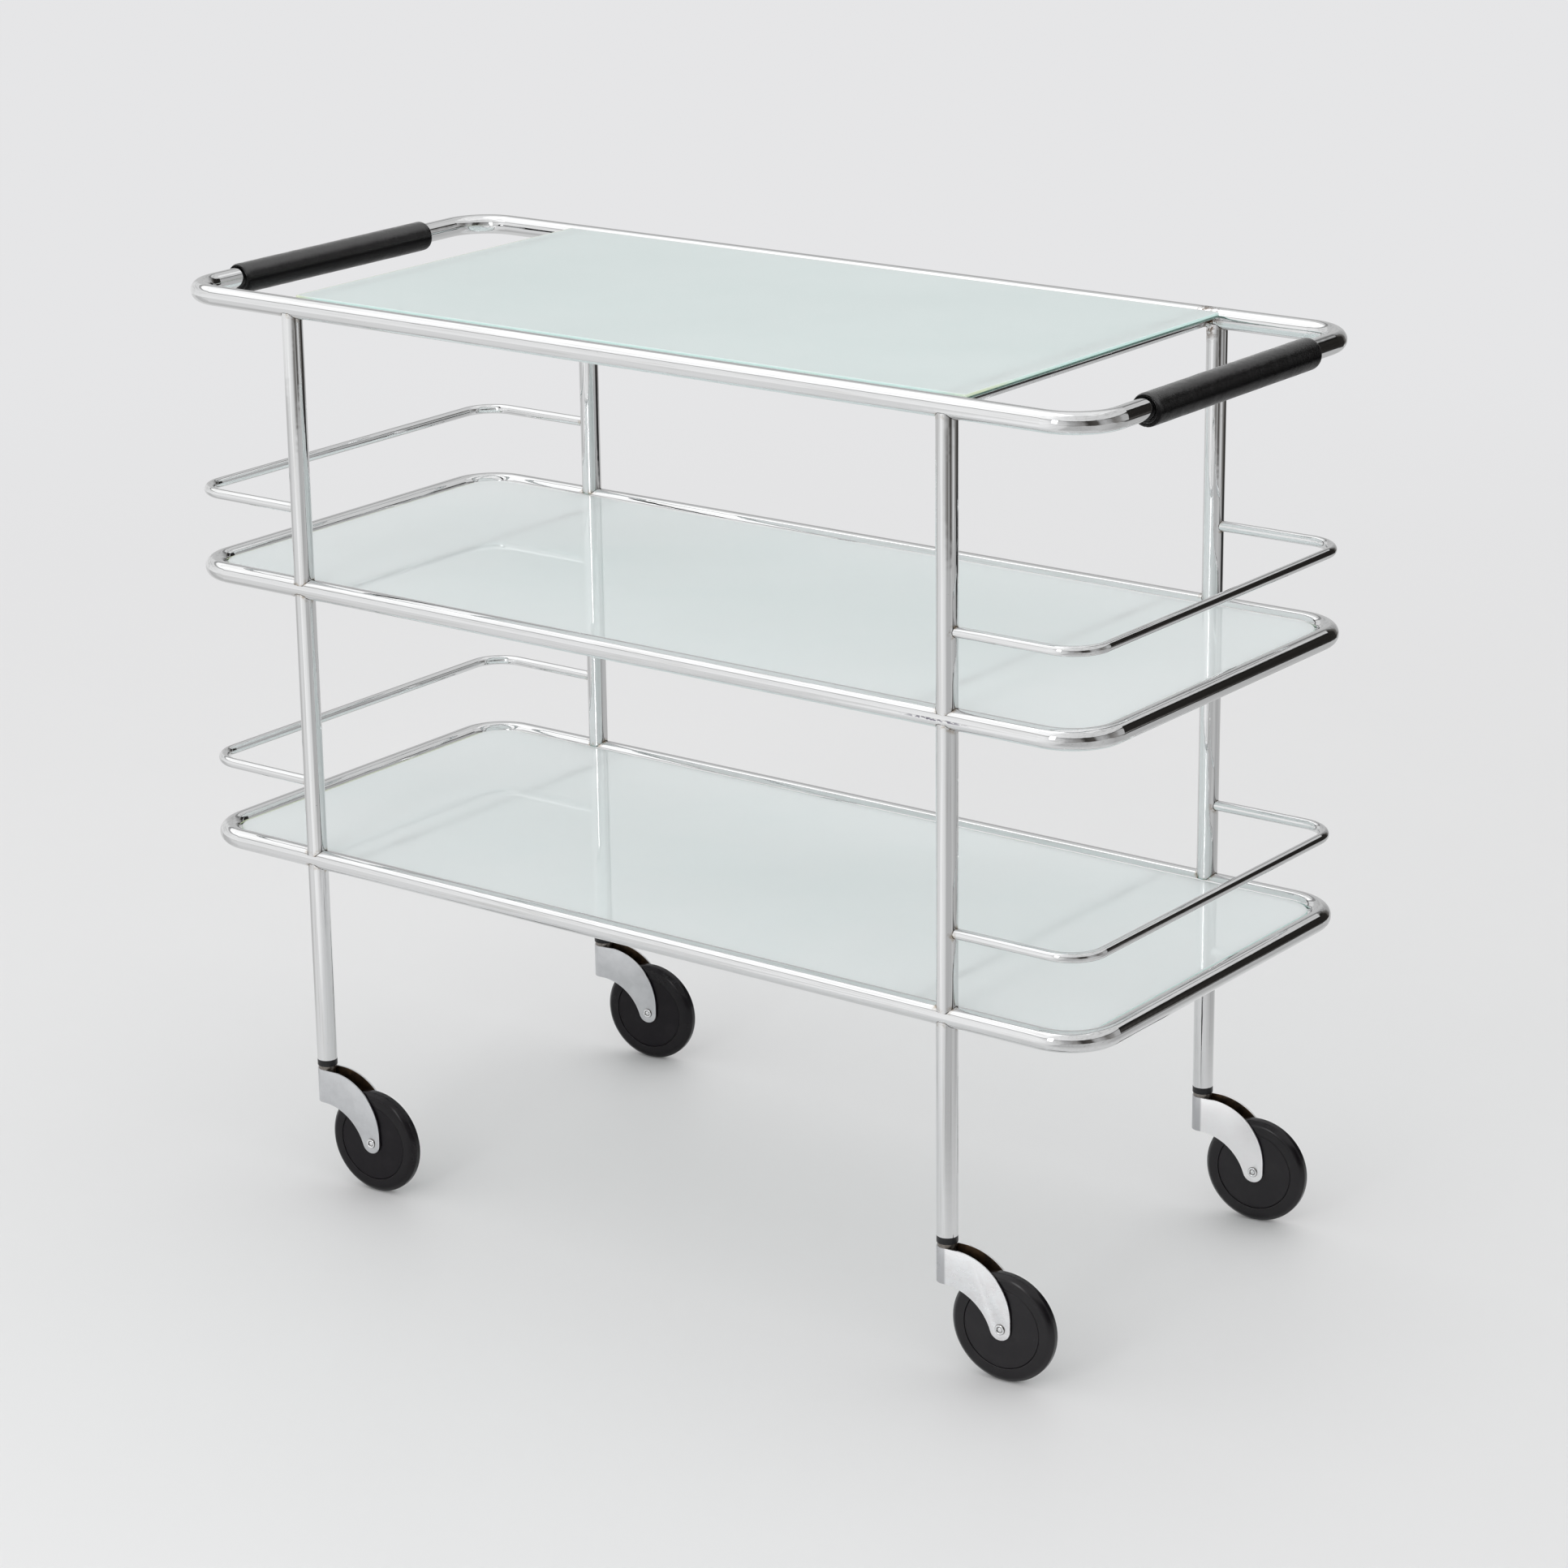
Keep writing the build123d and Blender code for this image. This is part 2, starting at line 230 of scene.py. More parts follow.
# %% [markdown]
# ## Where the welds are
#
# On the real cart the tubes are cut to a saddle, welded and then plated, which
# leaves a little brown staining round each joint and a fine gap, whose shade is
# painted as a dark line. Painting them would again take a UV map. It is simpler to
# ask how far a point of one tube lies from the surface of the tube that it is
# welded to, because that distance is zero exactly along the joint.

# %% Distance from a tube
def off_axis(tree, first, second, radius):
    """Distance from a tube's surface, given the two offsets from its axis."""
    squares = reckon(
        tree,
        "ADD",
        reckon(tree, "MULTIPLY", first, first),
        reckon(tree, "MULTIPLY", second, second),
    )
    return reckon(tree, "SUBTRACT", reckon(tree, "SQRT", squares), radius)


def across(tree, y):
    """Offset in Y from the nearer of the two planes that the posts stand in."""
    return reckon(tree, "SUBTRACT", reckon(tree, "ABSOLUTE", y), post_y)


def along(tree, x):
    """Offset in X from the nearer pair of posts, positive towards the cart's end."""
    return reckon(tree, "SUBTRACT", reckon(tree, "ABSOLUTE", x), post_x)


def mm(length):
    return f"{length * 1000:.4g} mm"


print(f"tube radii: hoops {mm(hoop_radius)}, posts {mm(post_radius)}, rails {mm(rail_radius)}")

# %% [markdown]
# ## The neighbours of each tube
#
# A post meets the hoops and, on its outer side, the guard rails. A hoop or a rail
# meets the posts. Each joint could be listed by itself, but one function for each
# kind of neighbour is shorter: it gives the distance to the nearest tube of that
# kind, and pushes away the places where no tube arrives.

# %% Distances to the welded neighbours
FAR_AWAY = 1.0


def from_runs(tree, y, z, heights, radius):
    """Distance to the nearest of the level tubes that pass the posts at these heights."""
    nearest = FAR_AWAY
    for height in heights:
        gap = off_axis(tree, across(tree, y), reckon(tree, "SUBTRACT", z, height), radius)
        nearest = reckon(tree, "MINIMUM", gap, nearest)
    return nearest


def from_hoops(tree, x, y, z):
    return from_runs(tree, y, z, hoop_heights, hoop_radius)


def from_rails(tree, x, y, z):
    """Rails meet a post only on its outer side, so the inner side is pushed away."""
    inner_side = reckon(tree, "LESS_THAN", along(tree, x), 0.0)
    return reckon(tree, "ADD", from_runs(tree, y, z, rail_heights, rail_radius), inner_side)


def from_posts(tree, x, y, z):
    """Pushed away on top of the top hoop and between the blunt tips of two saddles."""
    away = reckon(tree, "GREATER_THAN", z, hoop_heights[0] - saddle_tip)
    for height in hoop_heights[1:]:
        offset = reckon(tree, "ABSOLUTE", reckon(tree, "SUBTRACT", z, height))
        away = reckon(tree, "ADD", away, reckon(tree, "LESS_THAN", offset, saddle_tip))
    gap = off_axis(tree, along(tree, x), across(tree, y), post_radius)
    return reckon(tree, "ADD", reckon(tree, "ABSOLUTE", gap), away)


print(f"saddles end {mm(saddle_tip)} above or below a hoop's middle")

# %% [markdown]
# ## Polishing marks
#
# Before plating, the tubes are polished on a belt that runs along them, and its
# fine marks still show through the chrome. They could be scratches drawn one by
# one. Noise that is drawn out fifty times along the tube does the same, and only
# has to know which way the tube runs: along X, round the end along Y, or down.

# %% Polishing marks
MARK_SCALE = 520
MARK_STRETCH = 0.02
END_TURN_START = 0.030
END_TURN_DONE = 0.012


def marks_along(tree, where, axis):
    squeeze = [1.0, 1.0, 1.0]
    squeeze[axis] = MARK_STRETCH
    return grain(tree, stretch(tree, where, squeeze), MARK_SCALE)


def marks_round_hoop(tree, where):
    """Along X on the long runs, and along Y on the end runs."""
    beside = reckon(tree, "ABSOLUTE", split(tree, where)[0])
    on_end = fade(tree, beside, end_x - END_TURN_START, end_x - END_TURN_DONE)
    return blend_colours(tree, on_end, marks_along(tree, where, 0), marks_along(tree, where, 1))


def marks_down_post(tree, where):
    return marks_along(tree, where, 2)


print(f"polishing marks, turning with the tube {mm(END_TURN_START)} before its end run")

# %% [markdown]
# ## Flakes and rust
#
# In one place, on the middle hoop beside the front right post, the plating has
# lifted in a row of small flakes, and rust has come through at one joint under
# the top glass. Both could be painted by hand. Here each is a soft-edged patch
# round a known place, and noise breaks it up so that its edge isn't ruled.

# %% Flakes and rust
FLAKES_ASIDE = 0.006
FLAKES_BELOW = 0.0006
FLAKES_REACH = (0.040, 0.012)
FLAKES_HEIGHT = (0.0016, 0.0004)
FLAKE_STRETCH = (0.45, 1, 1)
FLAKE_CHIPS = (560, 0.50, 0.56)
RUST_REACH = (0.022, 0.006)
RUST_PATCHES = (210, 0.44, 0.56)


def flaking(tree, where):
    x, y, z = split(tree, where)
    beside = reckon(tree, "ABSOLUTE", reckon(tree, "SUBTRACT", x, post_x - FLAKES_ASIDE))
    level = reckon(tree, "ABSOLUTE", reckon(tree, "SUBTRACT", z, hoop_heights[1] - FLAKES_BELOW))
    row = reckon(
        tree, "MULTIPLY", fade(tree, beside, *FLAKES_REACH), fade(tree, level, *FLAKES_HEIGHT)
    )
    row = reckon(tree, "MULTIPLY", row, reckon(tree, "LESS_THAN", y, -post_y))
    chips = patches(tree, stretch(tree, where, FLAKE_STRETCH), FLAKE_CHIPS, detail=4)
    return reckon(tree, "MULTIPLY", row, chips)


rusty_joint = middle("top_rod_right")
rusty_joint.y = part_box("top_rod_right")[1].y


def rusting(tree, where):
    """Rust round the joint of hoop and rod under the back right corner of the top glass."""
    gap = reckon_vector(tree, "DISTANCE", where, rusty_joint)
    patchy = patches(tree, where, RUST_PATCHES, detail=5, roughness=0.65)
    return reckon(tree, "MULTIPLY", fade(tree, gap, *RUST_REACH), patchy)


print("rust at", tuple(round(v, 3) for v in rusty_joint))

# %% [markdown]
# ## Stained welds and painted shade at the joints
#
# Heat and wear have left brown stains beside the welds. Along the joint itself a
# fine dark line is painted for the shade in the gap, broken where the plating has
# bridged it. An ambient occlusion node would find the joints too, but it is slow
# and grainy. The distances above find them exactly, and noise breaks up both the
# stains and the line.

# %% Stained welds
WELD_STAIN = (0.40, 0.32, 0.23, 1)
# Painted shade: the dark line in the gap along each joint
WELD_LINE_SHADE = (0.050, 0.038, 0.028, 1)
STAIN_REACH = (0.0045, 0.0002)
STAIN_PATCHES = (170, 0.46, 0.66)
STAIN_STRENGTH = 0.75
LINE_REACH = (0.0005, 0.0002)
LINE_BREAKS = (260, 0.35, 0.60)
LINE_STRENGTH = (0.25, 0.9)


def weld_marks(tree, where, colour, neighbours):
    """The colour with stains and a broken line of painted shade at the joints, and how stained it is.
    """
    x, y, z = split(tree, where)
    gap = FAR_AWAY
    for neighbour in neighbours:
        gap = reckon(tree, "MINIMUM", neighbour(tree, x, y, z), gap)
    patchy = patches(tree, where, STAIN_PATCHES, detail=5)
    stain = reckon(tree, "MULTIPLY", fade(tree, gap, *STAIN_REACH), patchy)
    stain = reckon(tree, "MULTIPLY", stain, STAIN_STRENGTH)
    colour = blend_colours(tree, stain, colour, WELD_STAIN)
    broken = rescale(tree, patches(tree, where, LINE_BREAKS), *LINE_STRENGTH)
    # The dark line along the joint is painted shade in the gap, not a stain
    line = reckon(tree, "MULTIPLY", fade(tree, gap, *LINE_REACH), broken)
    return blend_colours(tree, line, colour, WELD_LINE_SHADE), stain


print(f"stains reach {mm(STAIN_REACH[0])} from a weld")

# %% [markdown]
# ## Bright chrome plate
#
# Chrome shows almost nothing of its own: it mirrors the room. What gives it away
# as a real, used tube are the small things: faint ripples from bending, the
# polishing marks, smears that dull it in patches, a few pits, and the stained
# joints with their line of painted shade. They are blended over the clean plate
# one after another, and rust and stains also make it duller. One chrome could
# serve the whole frame, but the marks run another way on each kind of tube and
# other neighbours are welded to it, so each kind gets a chrome of its own.

# %% Chrome
CHROME = (0.77, 0.775, 0.78, 1)
CHROME_MARKED = (0.66, 0.66, 0.655, 1)
CHROME_PIT = (0.14, 0.11, 0.09, 1)
FLAKE = (0.20, 0.19, 0.23, 1)
RUST = (0.105, 0.060, 0.028, 1)
MARKS_SHOW = (0.48, 0.80)
MARK_HEIGHT = 0.000022
PITS = (800, 0.825, 0.845)
SMEAR_SCALE = 26
SMEAR_DULLNESS = 0.075
RUST_DULLNESS = 0.35
STAIN_DULLNESS = 0.25
RIPPLE_SCALE = 45
RIPPLE_HEIGHT = 0.00010


def chrome_finish(name, polishing_marks, *neighbours):
    material, tree, shader = start_finish(name)
    where = place(tree)
    marks = polishing_marks(tree, where)
    rust = rusting(tree, where)
    colour = blend_colours(tree, fade(tree, marks, *MARKS_SHOW), CHROME, CHROME_MARKED)
    colour = blend_colours(tree, patches(tree, where, PITS, detail=1), colour, CHROME_PIT)
    colour = blend_colours(tree, flaking(tree, where), colour, FLAKE)
    colour = blend_colours(tree, rust, colour, RUST)
    colour, stain = weld_marks(tree, where, colour, neighbours)
    feed(tree, colour, shader.inputs["Base Color"])
    dullness = rescale(tree, grain(tree, where, SMEAR_SCALE, detail=5), 0.0, SMEAR_DULLNESS)
    dullness = reckon(tree, "ADD", dullness, reckon(tree, "MULTIPLY", rust, RUST_DULLNESS))
    dullness = reckon(tree, "ADD", dullness, reckon(tree, "MULTIPLY", stain, STAIN_DULLNESS))
    feed(tree, dullness, shader.inputs["Roughness"])
    shader.inputs["Metallic"].default_value = 1.0
    ripples = bump(tree, grain(tree, where, RIPPLE_SCALE, detail=2), RIPPLE_HEIGHT)
    feed(tree, bump(tree, marks, MARK_HEIGHT, normal=ripples), shader.inputs["Normal"])
    return material


hoop_chrome = chrome_finish("hoop_chrome", marks_round_hoop, from_posts)
post_chrome = chrome_finish("post_chrome", marks_down_post, from_hoops, from_rails)
rail_chrome = chrome_finish("rail_chrome", marks_round_hoop, from_posts)
rod_chrome = chrome_finish("rod_chrome", marks_round_hoop, from_hoops)
list_finishes(hoop_chrome, post_chrome, rail_chrome, rod_chrome)

# %% [markdown]
# ## The glass edge
#
# Looked at edge-on the green of float glass gathers: the upper half of the
# rounded edge is a lit, deeper mint, here and there tinged with olive, and the
# lower half lies in shade. Real glass does this by itself, but only with many
# bounces of light inside the plate, which is slow and noisy. So the edge is found
# by its slope and coloured, with the light on its upper half and the shade on its
# lower half painted. At the left end it also shows as a faint line through the top.

# %% Glass edge
GLASS_EDGE = (0.540, 0.810, 0.730, 1)
GLASS_EDGE_OLIVE = (0.600, 0.690, 0.430, 1)
# Painted shade on the lower half of the rounded edge
GLASS_EDGE_SHADE = (0.090, 0.150, 0.130, 1)
OLIVE_PATCHES = (5, 0.52, 0.66)
OLIVE_REACH = 0.03
EDGE_LIT = 0.0006
EDGE_DARK = -0.0003
EDGE_SLOPE = (0.98, 0.70)
LEFT_LINE = (0.0040, 0.0030)
LEFT_LINE_STRENGTH = 0.55


def edge_colour(tree, where, plate):
    x, y, z = split(tree, where)
    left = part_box(plate)[0].x
    olive = patches(tree, where, OLIVE_PATCHES, detail=2)
    olive = reckon(tree, "MAXIMUM", olive, fade(tree, x, left + OLIVE_REACH, left))
    lit = blend_colours(tree, olive, GLASS_EDGE, GLASS_EDGE_OLIVE)
    height = reckon(tree, "SUBTRACT", z, middle(plate).z)
    # Below the plate's middle the edge is painted shade
    return blend_colours(tree, fade(tree, height, EDGE_LIT, EDGE_DARK), lit, GLASS_EDGE_SHADE)


def edge_share(tree, where, level, plate):
    """1 on the rounded edge, 0 on the faces, and in between along the line at the left end."""
    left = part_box(plate)[0].x
    start, full = LEFT_LINE
    line = fade(tree, split(tree, where)[0], left + start, left + full)
    rounded = fade(tree, reckon(tree, "ABSOLUTE", level), *EDGE_SLOPE)
    return reckon(tree, "MAXIMUM", rounded, reckon(tree, "MULTIPLY", line, LEFT_LINE_STRENGTH))


# %% [markdown]
# ## Frosted glass
#
# The shelves are float glass, frosted underneath, so light scatters inside and
# the plate looks pale mint instead of clear. Subsurface scattering gives that
# depth without the noise of true frosted glass. The upper face is polished and
# mirrors the posts, which takes a clear coat. The top plate gets all the light
# from above and the shelves are shaded by the plates over them, so the top is
# painted darker and the two lower ones lighter, standing in for the light that
# frosted glass lets through. The underside is painted pale, for the light that
# shines through the plate from above.

# %% Frosted glass
# Painted light: the shelves are lighter, for the light frosted glass would let through to them
SHELF_FACE_PAINTED_LIGHT = (0.825, 0.965, 0.945, 1)
SHELF_CLOUD_PAINTED_LIGHT = (0.802, 0.952, 0.930, 1)
# Painted shade: the top plate is darker than the shelves
TOP_FACE_PAINTED_SHADE = (0.612, 0.713, 0.699, 1)
TOP_CLOUD_PAINTED_SHADE = (0.594, 0.698, 0.684, 1)
# Painted light: the underside is pale for the light shining through the plate from above
UNDERSIDE_PAINTED_LIGHT = (0.930, 0.970, 0.960, 1)
UNDERSIDE_SLOPE = -0.9
GLASS_CLOUDS = (7, 0.35, 0.75)
FROST_SCALE = 1400
FROST_ROUGHNESS = (0.45, 0.60)
GLASS_DEPTH = 0.018
GLASS_IOR = 1.52


def glass_finish(name, face_colour, cloud_colour, plate):
    material, tree, shader = start_finish(name)
    where = place(tree)
    level = facing_up(tree)
    face = blend_colours(tree, patches(tree, where, GLASS_CLOUDS), face_colour, cloud_colour)
    below = reckon(tree, "LESS_THAN", level, UNDERSIDE_SLOPE)
    face = blend_colours(tree, below, face, UNDERSIDE_PAINTED_LIGHT)
    edge = edge_share(tree, where, level, plate)
    colour = blend_colours(tree, edge, face, edge_colour(tree, where, plate))
    feed(tree, colour, shader.inputs["Base Color"])
    frost = rescale(tree, grain(tree, where, FROST_SCALE, detail=2), *FROST_ROUGHNESS)
    feed(tree, frost, shader.inputs["Roughness"])
    shader.inputs["Specular IOR Level"].default_value = 0.3
    shader.inputs["Subsurface Weight"].default_value = 1.0
    shader.inputs["Subsurface Radius"].default_value = (1, 1, 1)
    shader.inputs["Subsurface Scale"].default_value = GLASS_DEPTH
    shader.inputs["Coat Weight"].default_value = 1.0
    shader.inputs["Coat Roughness"].default_value = 0.015
    shader.inputs["Coat IOR"].default_value = GLASS_IOR
    return material


# Shaded and lit copies of one glass: the top painted darker, the shelves lighter
shaded_table_glass = glass_finish("shaded_table_glass", TOP_FACE_PAINTED_SHADE, TOP_CLOUD_PAINTED_SHADE, "top_glass")
lit_middle_shelf_glass = glass_finish("lit_middle_shelf_glass", SHELF_FACE_PAINTED_LIGHT, SHELF_CLOUD_PAINTED_LIGHT, "middle_glass")
lit_bottom_shelf_glass = glass_finish("lit_bottom_shelf_glass", SHELF_FACE_PAINTED_LIGHT, SHELF_CLOUD_PAINTED_LIGHT, "bottom_glass")
list_finishes(shaded_table_glass, lit_middle_shelf_glass, lit_bottom_shelf_glass)

# %% [markdown]
# ## Which way the casters point
#
# Each caster has come to rest at an angle of its own, and the forks, the rivets
# and the wheels all have to know it. The angles could be written down here, but
# the solids give them: the level direction from a stem to its axle is the way the
# caster trails, and the axle lies square to it.

# %% Directions of the casters
def trail_direction(corner):
    trail = middle(f"caster_axle_{corner}") - middle(f"caster_stem_{corner}")
    return Vector((trail.x, trail.y, 0)).normalized()


def axle_direction(corner):
    trail = trail_direction(corner)
    return Vector((-trail.y, trail.x, 0))


for c in corners:
    trail = trail_direction(c)
    print(c, "trails at", round(degrees(atan2(trail.y, trail.x))), "degrees from X")

# %% [markdown]
# ## Zinc plate, and steel dark with oil and painted shade
#
# The forks are zinc plated: a satin metal with a faint cloudy bloom and fine
# rubbing marks. The right pair is bright, the back right fork brighter still as a
# painted highlight, and on both the half-round nose is painted greyer as shade.
# The left pair is darker all over. Inside, where the wheel runs, the sheet is
# dark, partly with old oil and partly as painted shade, and the stems and washers
# are dark with old oil. A material for each could be built by hand, but only the
# colours and the roughness differ, so one recipe makes them all.

# %% Zinc and steel
# Painted shade on the half-round nose of a fork
NOSE_SHADE_ZINC = (0.52, 0.525, 0.54, 1)
NOSE_SHADE_START = 0.0015
NOSE_SHADE_END = 0.0040
BLOOM_CLOUDS = (95, 0.30, 0.72)
RUB_SCALE = 160
RUB_HEIGHT = 0.00001
DOWNWARD_RUBS = (1, 1, 3)
LATHE_RUBS = (1, 1, 12)
EVEN_RUBS = (1, 1, 1)


def painted_nose_shade(tree, where, corner):
    """Painted shade: 1 on the half-round nose of a fork, ahead of its stem, and 0 on the flat cheeks.
    """
    offset = reckon_vector(tree, "SUBTRACT", where, middle(f"caster_stem_{corner}"))
    behind = reckon_vector(tree, "DOT_PRODUCT", offset, trail_direction(corner))
    return fade(tree, behind, NOSE_SHADE_END, NOSE_SHADE_START)


def satin_metal_finish(name, colour, bloom, roughness, rubbing, nose_shade_corner=None):
    material, tree, shader = start_finish(name)
    where = place(tree)
    clouds = patches(tree, where, BLOOM_CLOUDS, detail=6, roughness=0.65)
    metal = blend_colours(tree, clouds, colour, bloom)
    if nose_shade_corner:
        metal = blend_colours(tree, painted_nose_shade(tree, where, nose_shade_corner), metal, NOSE_SHADE_ZINC)
    feed(tree, metal, shader.inputs["Base Color"])
    rubs = grain(tree, stretch(tree, where, rubbing), RUB_SCALE)
    feed(tree, rescale(tree, rubs, *roughness), shader.inputs["Roughness"])
    shader.inputs["Metallic"].default_value = 1.0
    feed(tree, bump(tree, rubs, RUB_HEIGHT), shader.inputs["Normal"])
    return material


bright_zinc = satin_metal_finish(
    "bright_zinc",
    (0.90, 0.915, 0.93, 1),
    (0.85, 0.84, 0.85, 1),
    (0.22, 0.36),
    DOWNWARD_RUBS,
    nose_shade_corner="front_right",
)
# Painted highlight: the back right fork is brighter, in place of a lamp's highlight
zinc_painted_highlight = satin_metal_finish(
    "zinc_painted_highlight",
    (0.98, 0.985, 0.99, 1),
    (0.96, 0.95, 0.96, 1),
    (0.28, 0.42),
    DOWNWARD_RUBS,
    nose_shade_corner="back_right",
)
# The left pair of forks is darker all over
darker_zinc = satin_metal_finish(
    "darker_zinc", (0.65, 0.66, 0.675, 1), (0.59, 0.60, 0.615, 1), (0.28, 0.40), DOWNWARD_RUBS
)
# Inside of the forks: partly old oil and rust, partly painted shade
oil_and_shade_steel = satin_metal_finish(
    "oil_and_shade_steel", (0.170, 0.110, 0.065, 1), (0.045, 0.038, 0.032, 1), (0.28, 0.50), EVEN_RUBS
)
turned_steel = satin_metal_finish(
    "turned_steel", (0.30, 0.28, 0.26, 1), (0.18, 0.16, 0.14, 1), (0.20, 0.36), LATHE_RUBS
)
list_finishes(bright_zinc, zinc_painted_highlight, darker_zinc, oil_and_shade_steel, turned_steel)

# %% [markdown]
# ## Rivet steel
#
# Each axle is a rivet with a dished head. Its crown is worn bright, and shade is
# painted dark in the corner of the dish and where the head meets the fork. Both
# are rings, so the finish asks how far a point lies from the axle. A UV map of the
# rivet would do as well, but the distance needs none.

# %% Rivet steel
RIVET = (0.80, 0.81, 0.82, 1)
# Painted shade in the corner of the dish and where the head meets the fork
RIVET_SHADE = (0.10, 0.09, 0.08, 1)
DISH_RADIUS = 0.0024
DISH_SHADE = (0.0005, 0.0001)
HEAD_SHADE = (0.0043, 0.0048)
RIVET_ROUGHNESS = (0.0, 0.16)
SCUFF_SCALE = 700
SCUFF_HEIGHT = 0.00008


def from_axle(tree, where, corner):
    offset = reckon_vector(tree, "SUBTRACT", where, middle(f"caster_axle_{corner}"))
    along_axle = reckon_vector(tree, "DOT_PRODUCT", offset, axle_direction(corner))
    square = reckon_vector(tree, "DOT_PRODUCT", offset, offset)
    square = reckon(tree, "SUBTRACT", square, reckon(tree, "MULTIPLY", along_axle, along_axle))
    return reckon(tree, "SQRT", square)


def rivet_finish(corner):
    material, tree, shader = start_finish(f"rivet_steel_{corner}")
    where = place(tree)
    radius = from_axle(tree, where, corner)
    from_dish = reckon(tree, "ABSOLUTE", reckon(tree, "SUBTRACT", radius, DISH_RADIUS))
    # Two dark rings of painted shade: the dish's corner and the head's edge
    painted_shade = reckon(
        tree, "MAXIMUM", fade(tree, from_dish, *DISH_SHADE), fade(tree, radius, *HEAD_SHADE)
    )
    feed(tree, blend_colours(tree, painted_shade, RIVET, RIVET_SHADE), shader.inputs["Base Color"])
    scuffs = grain(tree, where, SCUFF_SCALE, detail=4)
    feed(tree, rescale(tree, scuffs, *RIVET_ROUGHNESS), shader.inputs["Roughness"])
    feed(tree, bump(tree, scuffs, SCUFF_HEIGHT), shader.inputs["Normal"])
    shader.inputs["Metallic"].default_value = 1.0
    return material


rivet_steel = {c: rivet_finish(c) for c in corners}
list_finishes(*rivet_steel.values())

# %% [markdown]
# ## Black plastics and rubber
#
# Wheels, tyres and sockets are black, and what makes black look real is that it
# is never even: there is moulding texture, dust and a little rubbed shine. A
# plain dark colour would look like a hole in the picture. The left pair of wheels
# has less shine than the right pair.

# %% Black plastics and rubber
DUST = (0.16, 0.155, 0.15, 1)
DUST_FILM = (38, 0.42, 0.80)
DUST_SPECKS = (620, 0.70, 0.78)
FILM_STRENGTH = 0.35
DISC = (0.0055, 0.0042, 0.0062, 1)
RUBBER = (0.0050, 0.0040, 0.0055, 1)
SOCKET = (0.006, 0.006, 0.007, 1)
DISC_ROUGHNESS = (0.24, 0.36)
RUBBER_ROUGHNESS = (0.16, 0.28)
SOCKET_ROUGHNESS = (0.30, 0.45)
PORE_HEIGHT = 0.000012


def black_finish(name, colour, dust_amount, shine, roughness, pore_scale):
    material, tree, shader = start_finish(name)
    where = place(tree)
    film = patches(tree, where, DUST_FILM, detail=6, roughness=0.7)
    specks = patches(tree, where, DUST_SPECKS, detail=2)
    soil = reckon(tree, "MAXIMUM", reckon(tree, "MULTIPLY", film, FILM_STRENGTH), specks)
    soil = reckon(tree, "MULTIPLY", soil, dust_amount)
    feed(tree, blend_colours(tree, soil, colour, DUST), shader.inputs["Base Color"])
    pores = grain(tree, where, pore_scale)
    feed(tree, rescale(tree, pores, *roughness), shader.inputs["Roughness"])
    feed(tree, bump(tree, pores, PORE_HEIGHT), shader.inputs["Normal"])
    shader.inputs["Specular IOR Level"].default_value = shine
    return material


wheel_black = {
    "right": black_finish("wheel_black", DISC, 0.12, 0.40, DISC_ROUGHNESS, 1500),
    "left": black_finish("wheel_black_dull", DISC, 0.12, 0.20, DISC_ROUGHNESS, 1500),
}
tyre_black = {
    "right": black_finish("tyre_black", RUBBER, 0.12, 0.40, RUBBER_ROUGHNESS, 1100),
    "left": black_finish("tyre_black_dull", RUBBER, 0.12, 0.25, RUBBER_ROUGHNESS, 1100),
}
socket_black = black_finish("socket_black", SOCKET, 0.08, 0.40, SOCKET_ROUGHNESS, 1800)
list_finishes(*wheel_black.values(), *tyre_black.values(), socket_black)

# %% [markdown]
# ## Clear pads
#
# Small clear strips lie between the rods and the glass, and keep it from ringing
# on the steel. They could be rendered as true clear plastic, but they hardly show,
# so a hazy, partly transparent one will do.

# %% Clear pads
PAD = (0.62, 0.66, 0.65, 1)
PAD_HAZE = (0.74, 0.77, 0.76, 1)
PAD_ROUGHNESS = (0.25, 0.45)
HAZE_SCALE = 500


def clear_pad_finish(name):
    material, tree, shader = start_finish(name)
    haze = grain(tree, place(tree), HAZE_SCALE)
    feed(tree, blend_colours(tree, haze, PAD, PAD_HAZE), shader.inputs["Base Color"])
    feed(tree, rescale(tree, haze, *PAD_ROUGHNESS), shader.inputs["Roughness"])
    shader.inputs["Transmission Weight"].default_value = 0.6
    return material


clear_pad = clear_pad_finish("clear_pad")
list_finishes(clear_pad)

# %% [markdown]
# ## Dress the solids
#
# The tubes, the glass and what is mostly hidden already have the right shape.
# Modelling them again would gain nothing, so each keeps its mesh and only gets a
# finish, through its material slot.

# %% Dress the solids
def dress(material, *names):
    for name in names:
        nodes[name].material_slots[0].material = material
    print(material.name, "on", len(names), "solids")


dress(hoop_chrome, *[f"{tier}_hoop" for tier in tiers])
dress(post_chrome, *[f"{tier}_post_{c}" for tier in ("upper", "middle", "lower") for c in corners])
dress(rail_chrome, *[f"{tier}_rail_{end}" for tier in tiers[1:] for end in ends])
dress(rod_chrome, *[f"{tier}_rod_{end}" for tier in tiers for end in ends])
dress(shaded_table_glass, "top_glass")
dress(lit_middle_shelf_glass, "middle_glass")
dress(lit_bottom_shelf_glass, "bottom_glass")
dress(clear_pad, "glass_pads")
dress(turned_steel, "thrust_washers", *[f"caster_stem_{c}" for c in corners])
dress(socket_black, *[f"caster_socket_{c}" for c in corners])

# %% [markdown]
# ## Forks with eased edges
#
# A pressed sheet never has knife edges: the press and the plating round them,
# and that is where the bright lines along the forks come from. Drawing the fork
# again would only repeat its solid, so each starts as a copy of that. The copy's
# loose triangles are merged, its flat faces are cleaned up, and a bevel eases
# every sharp edge.

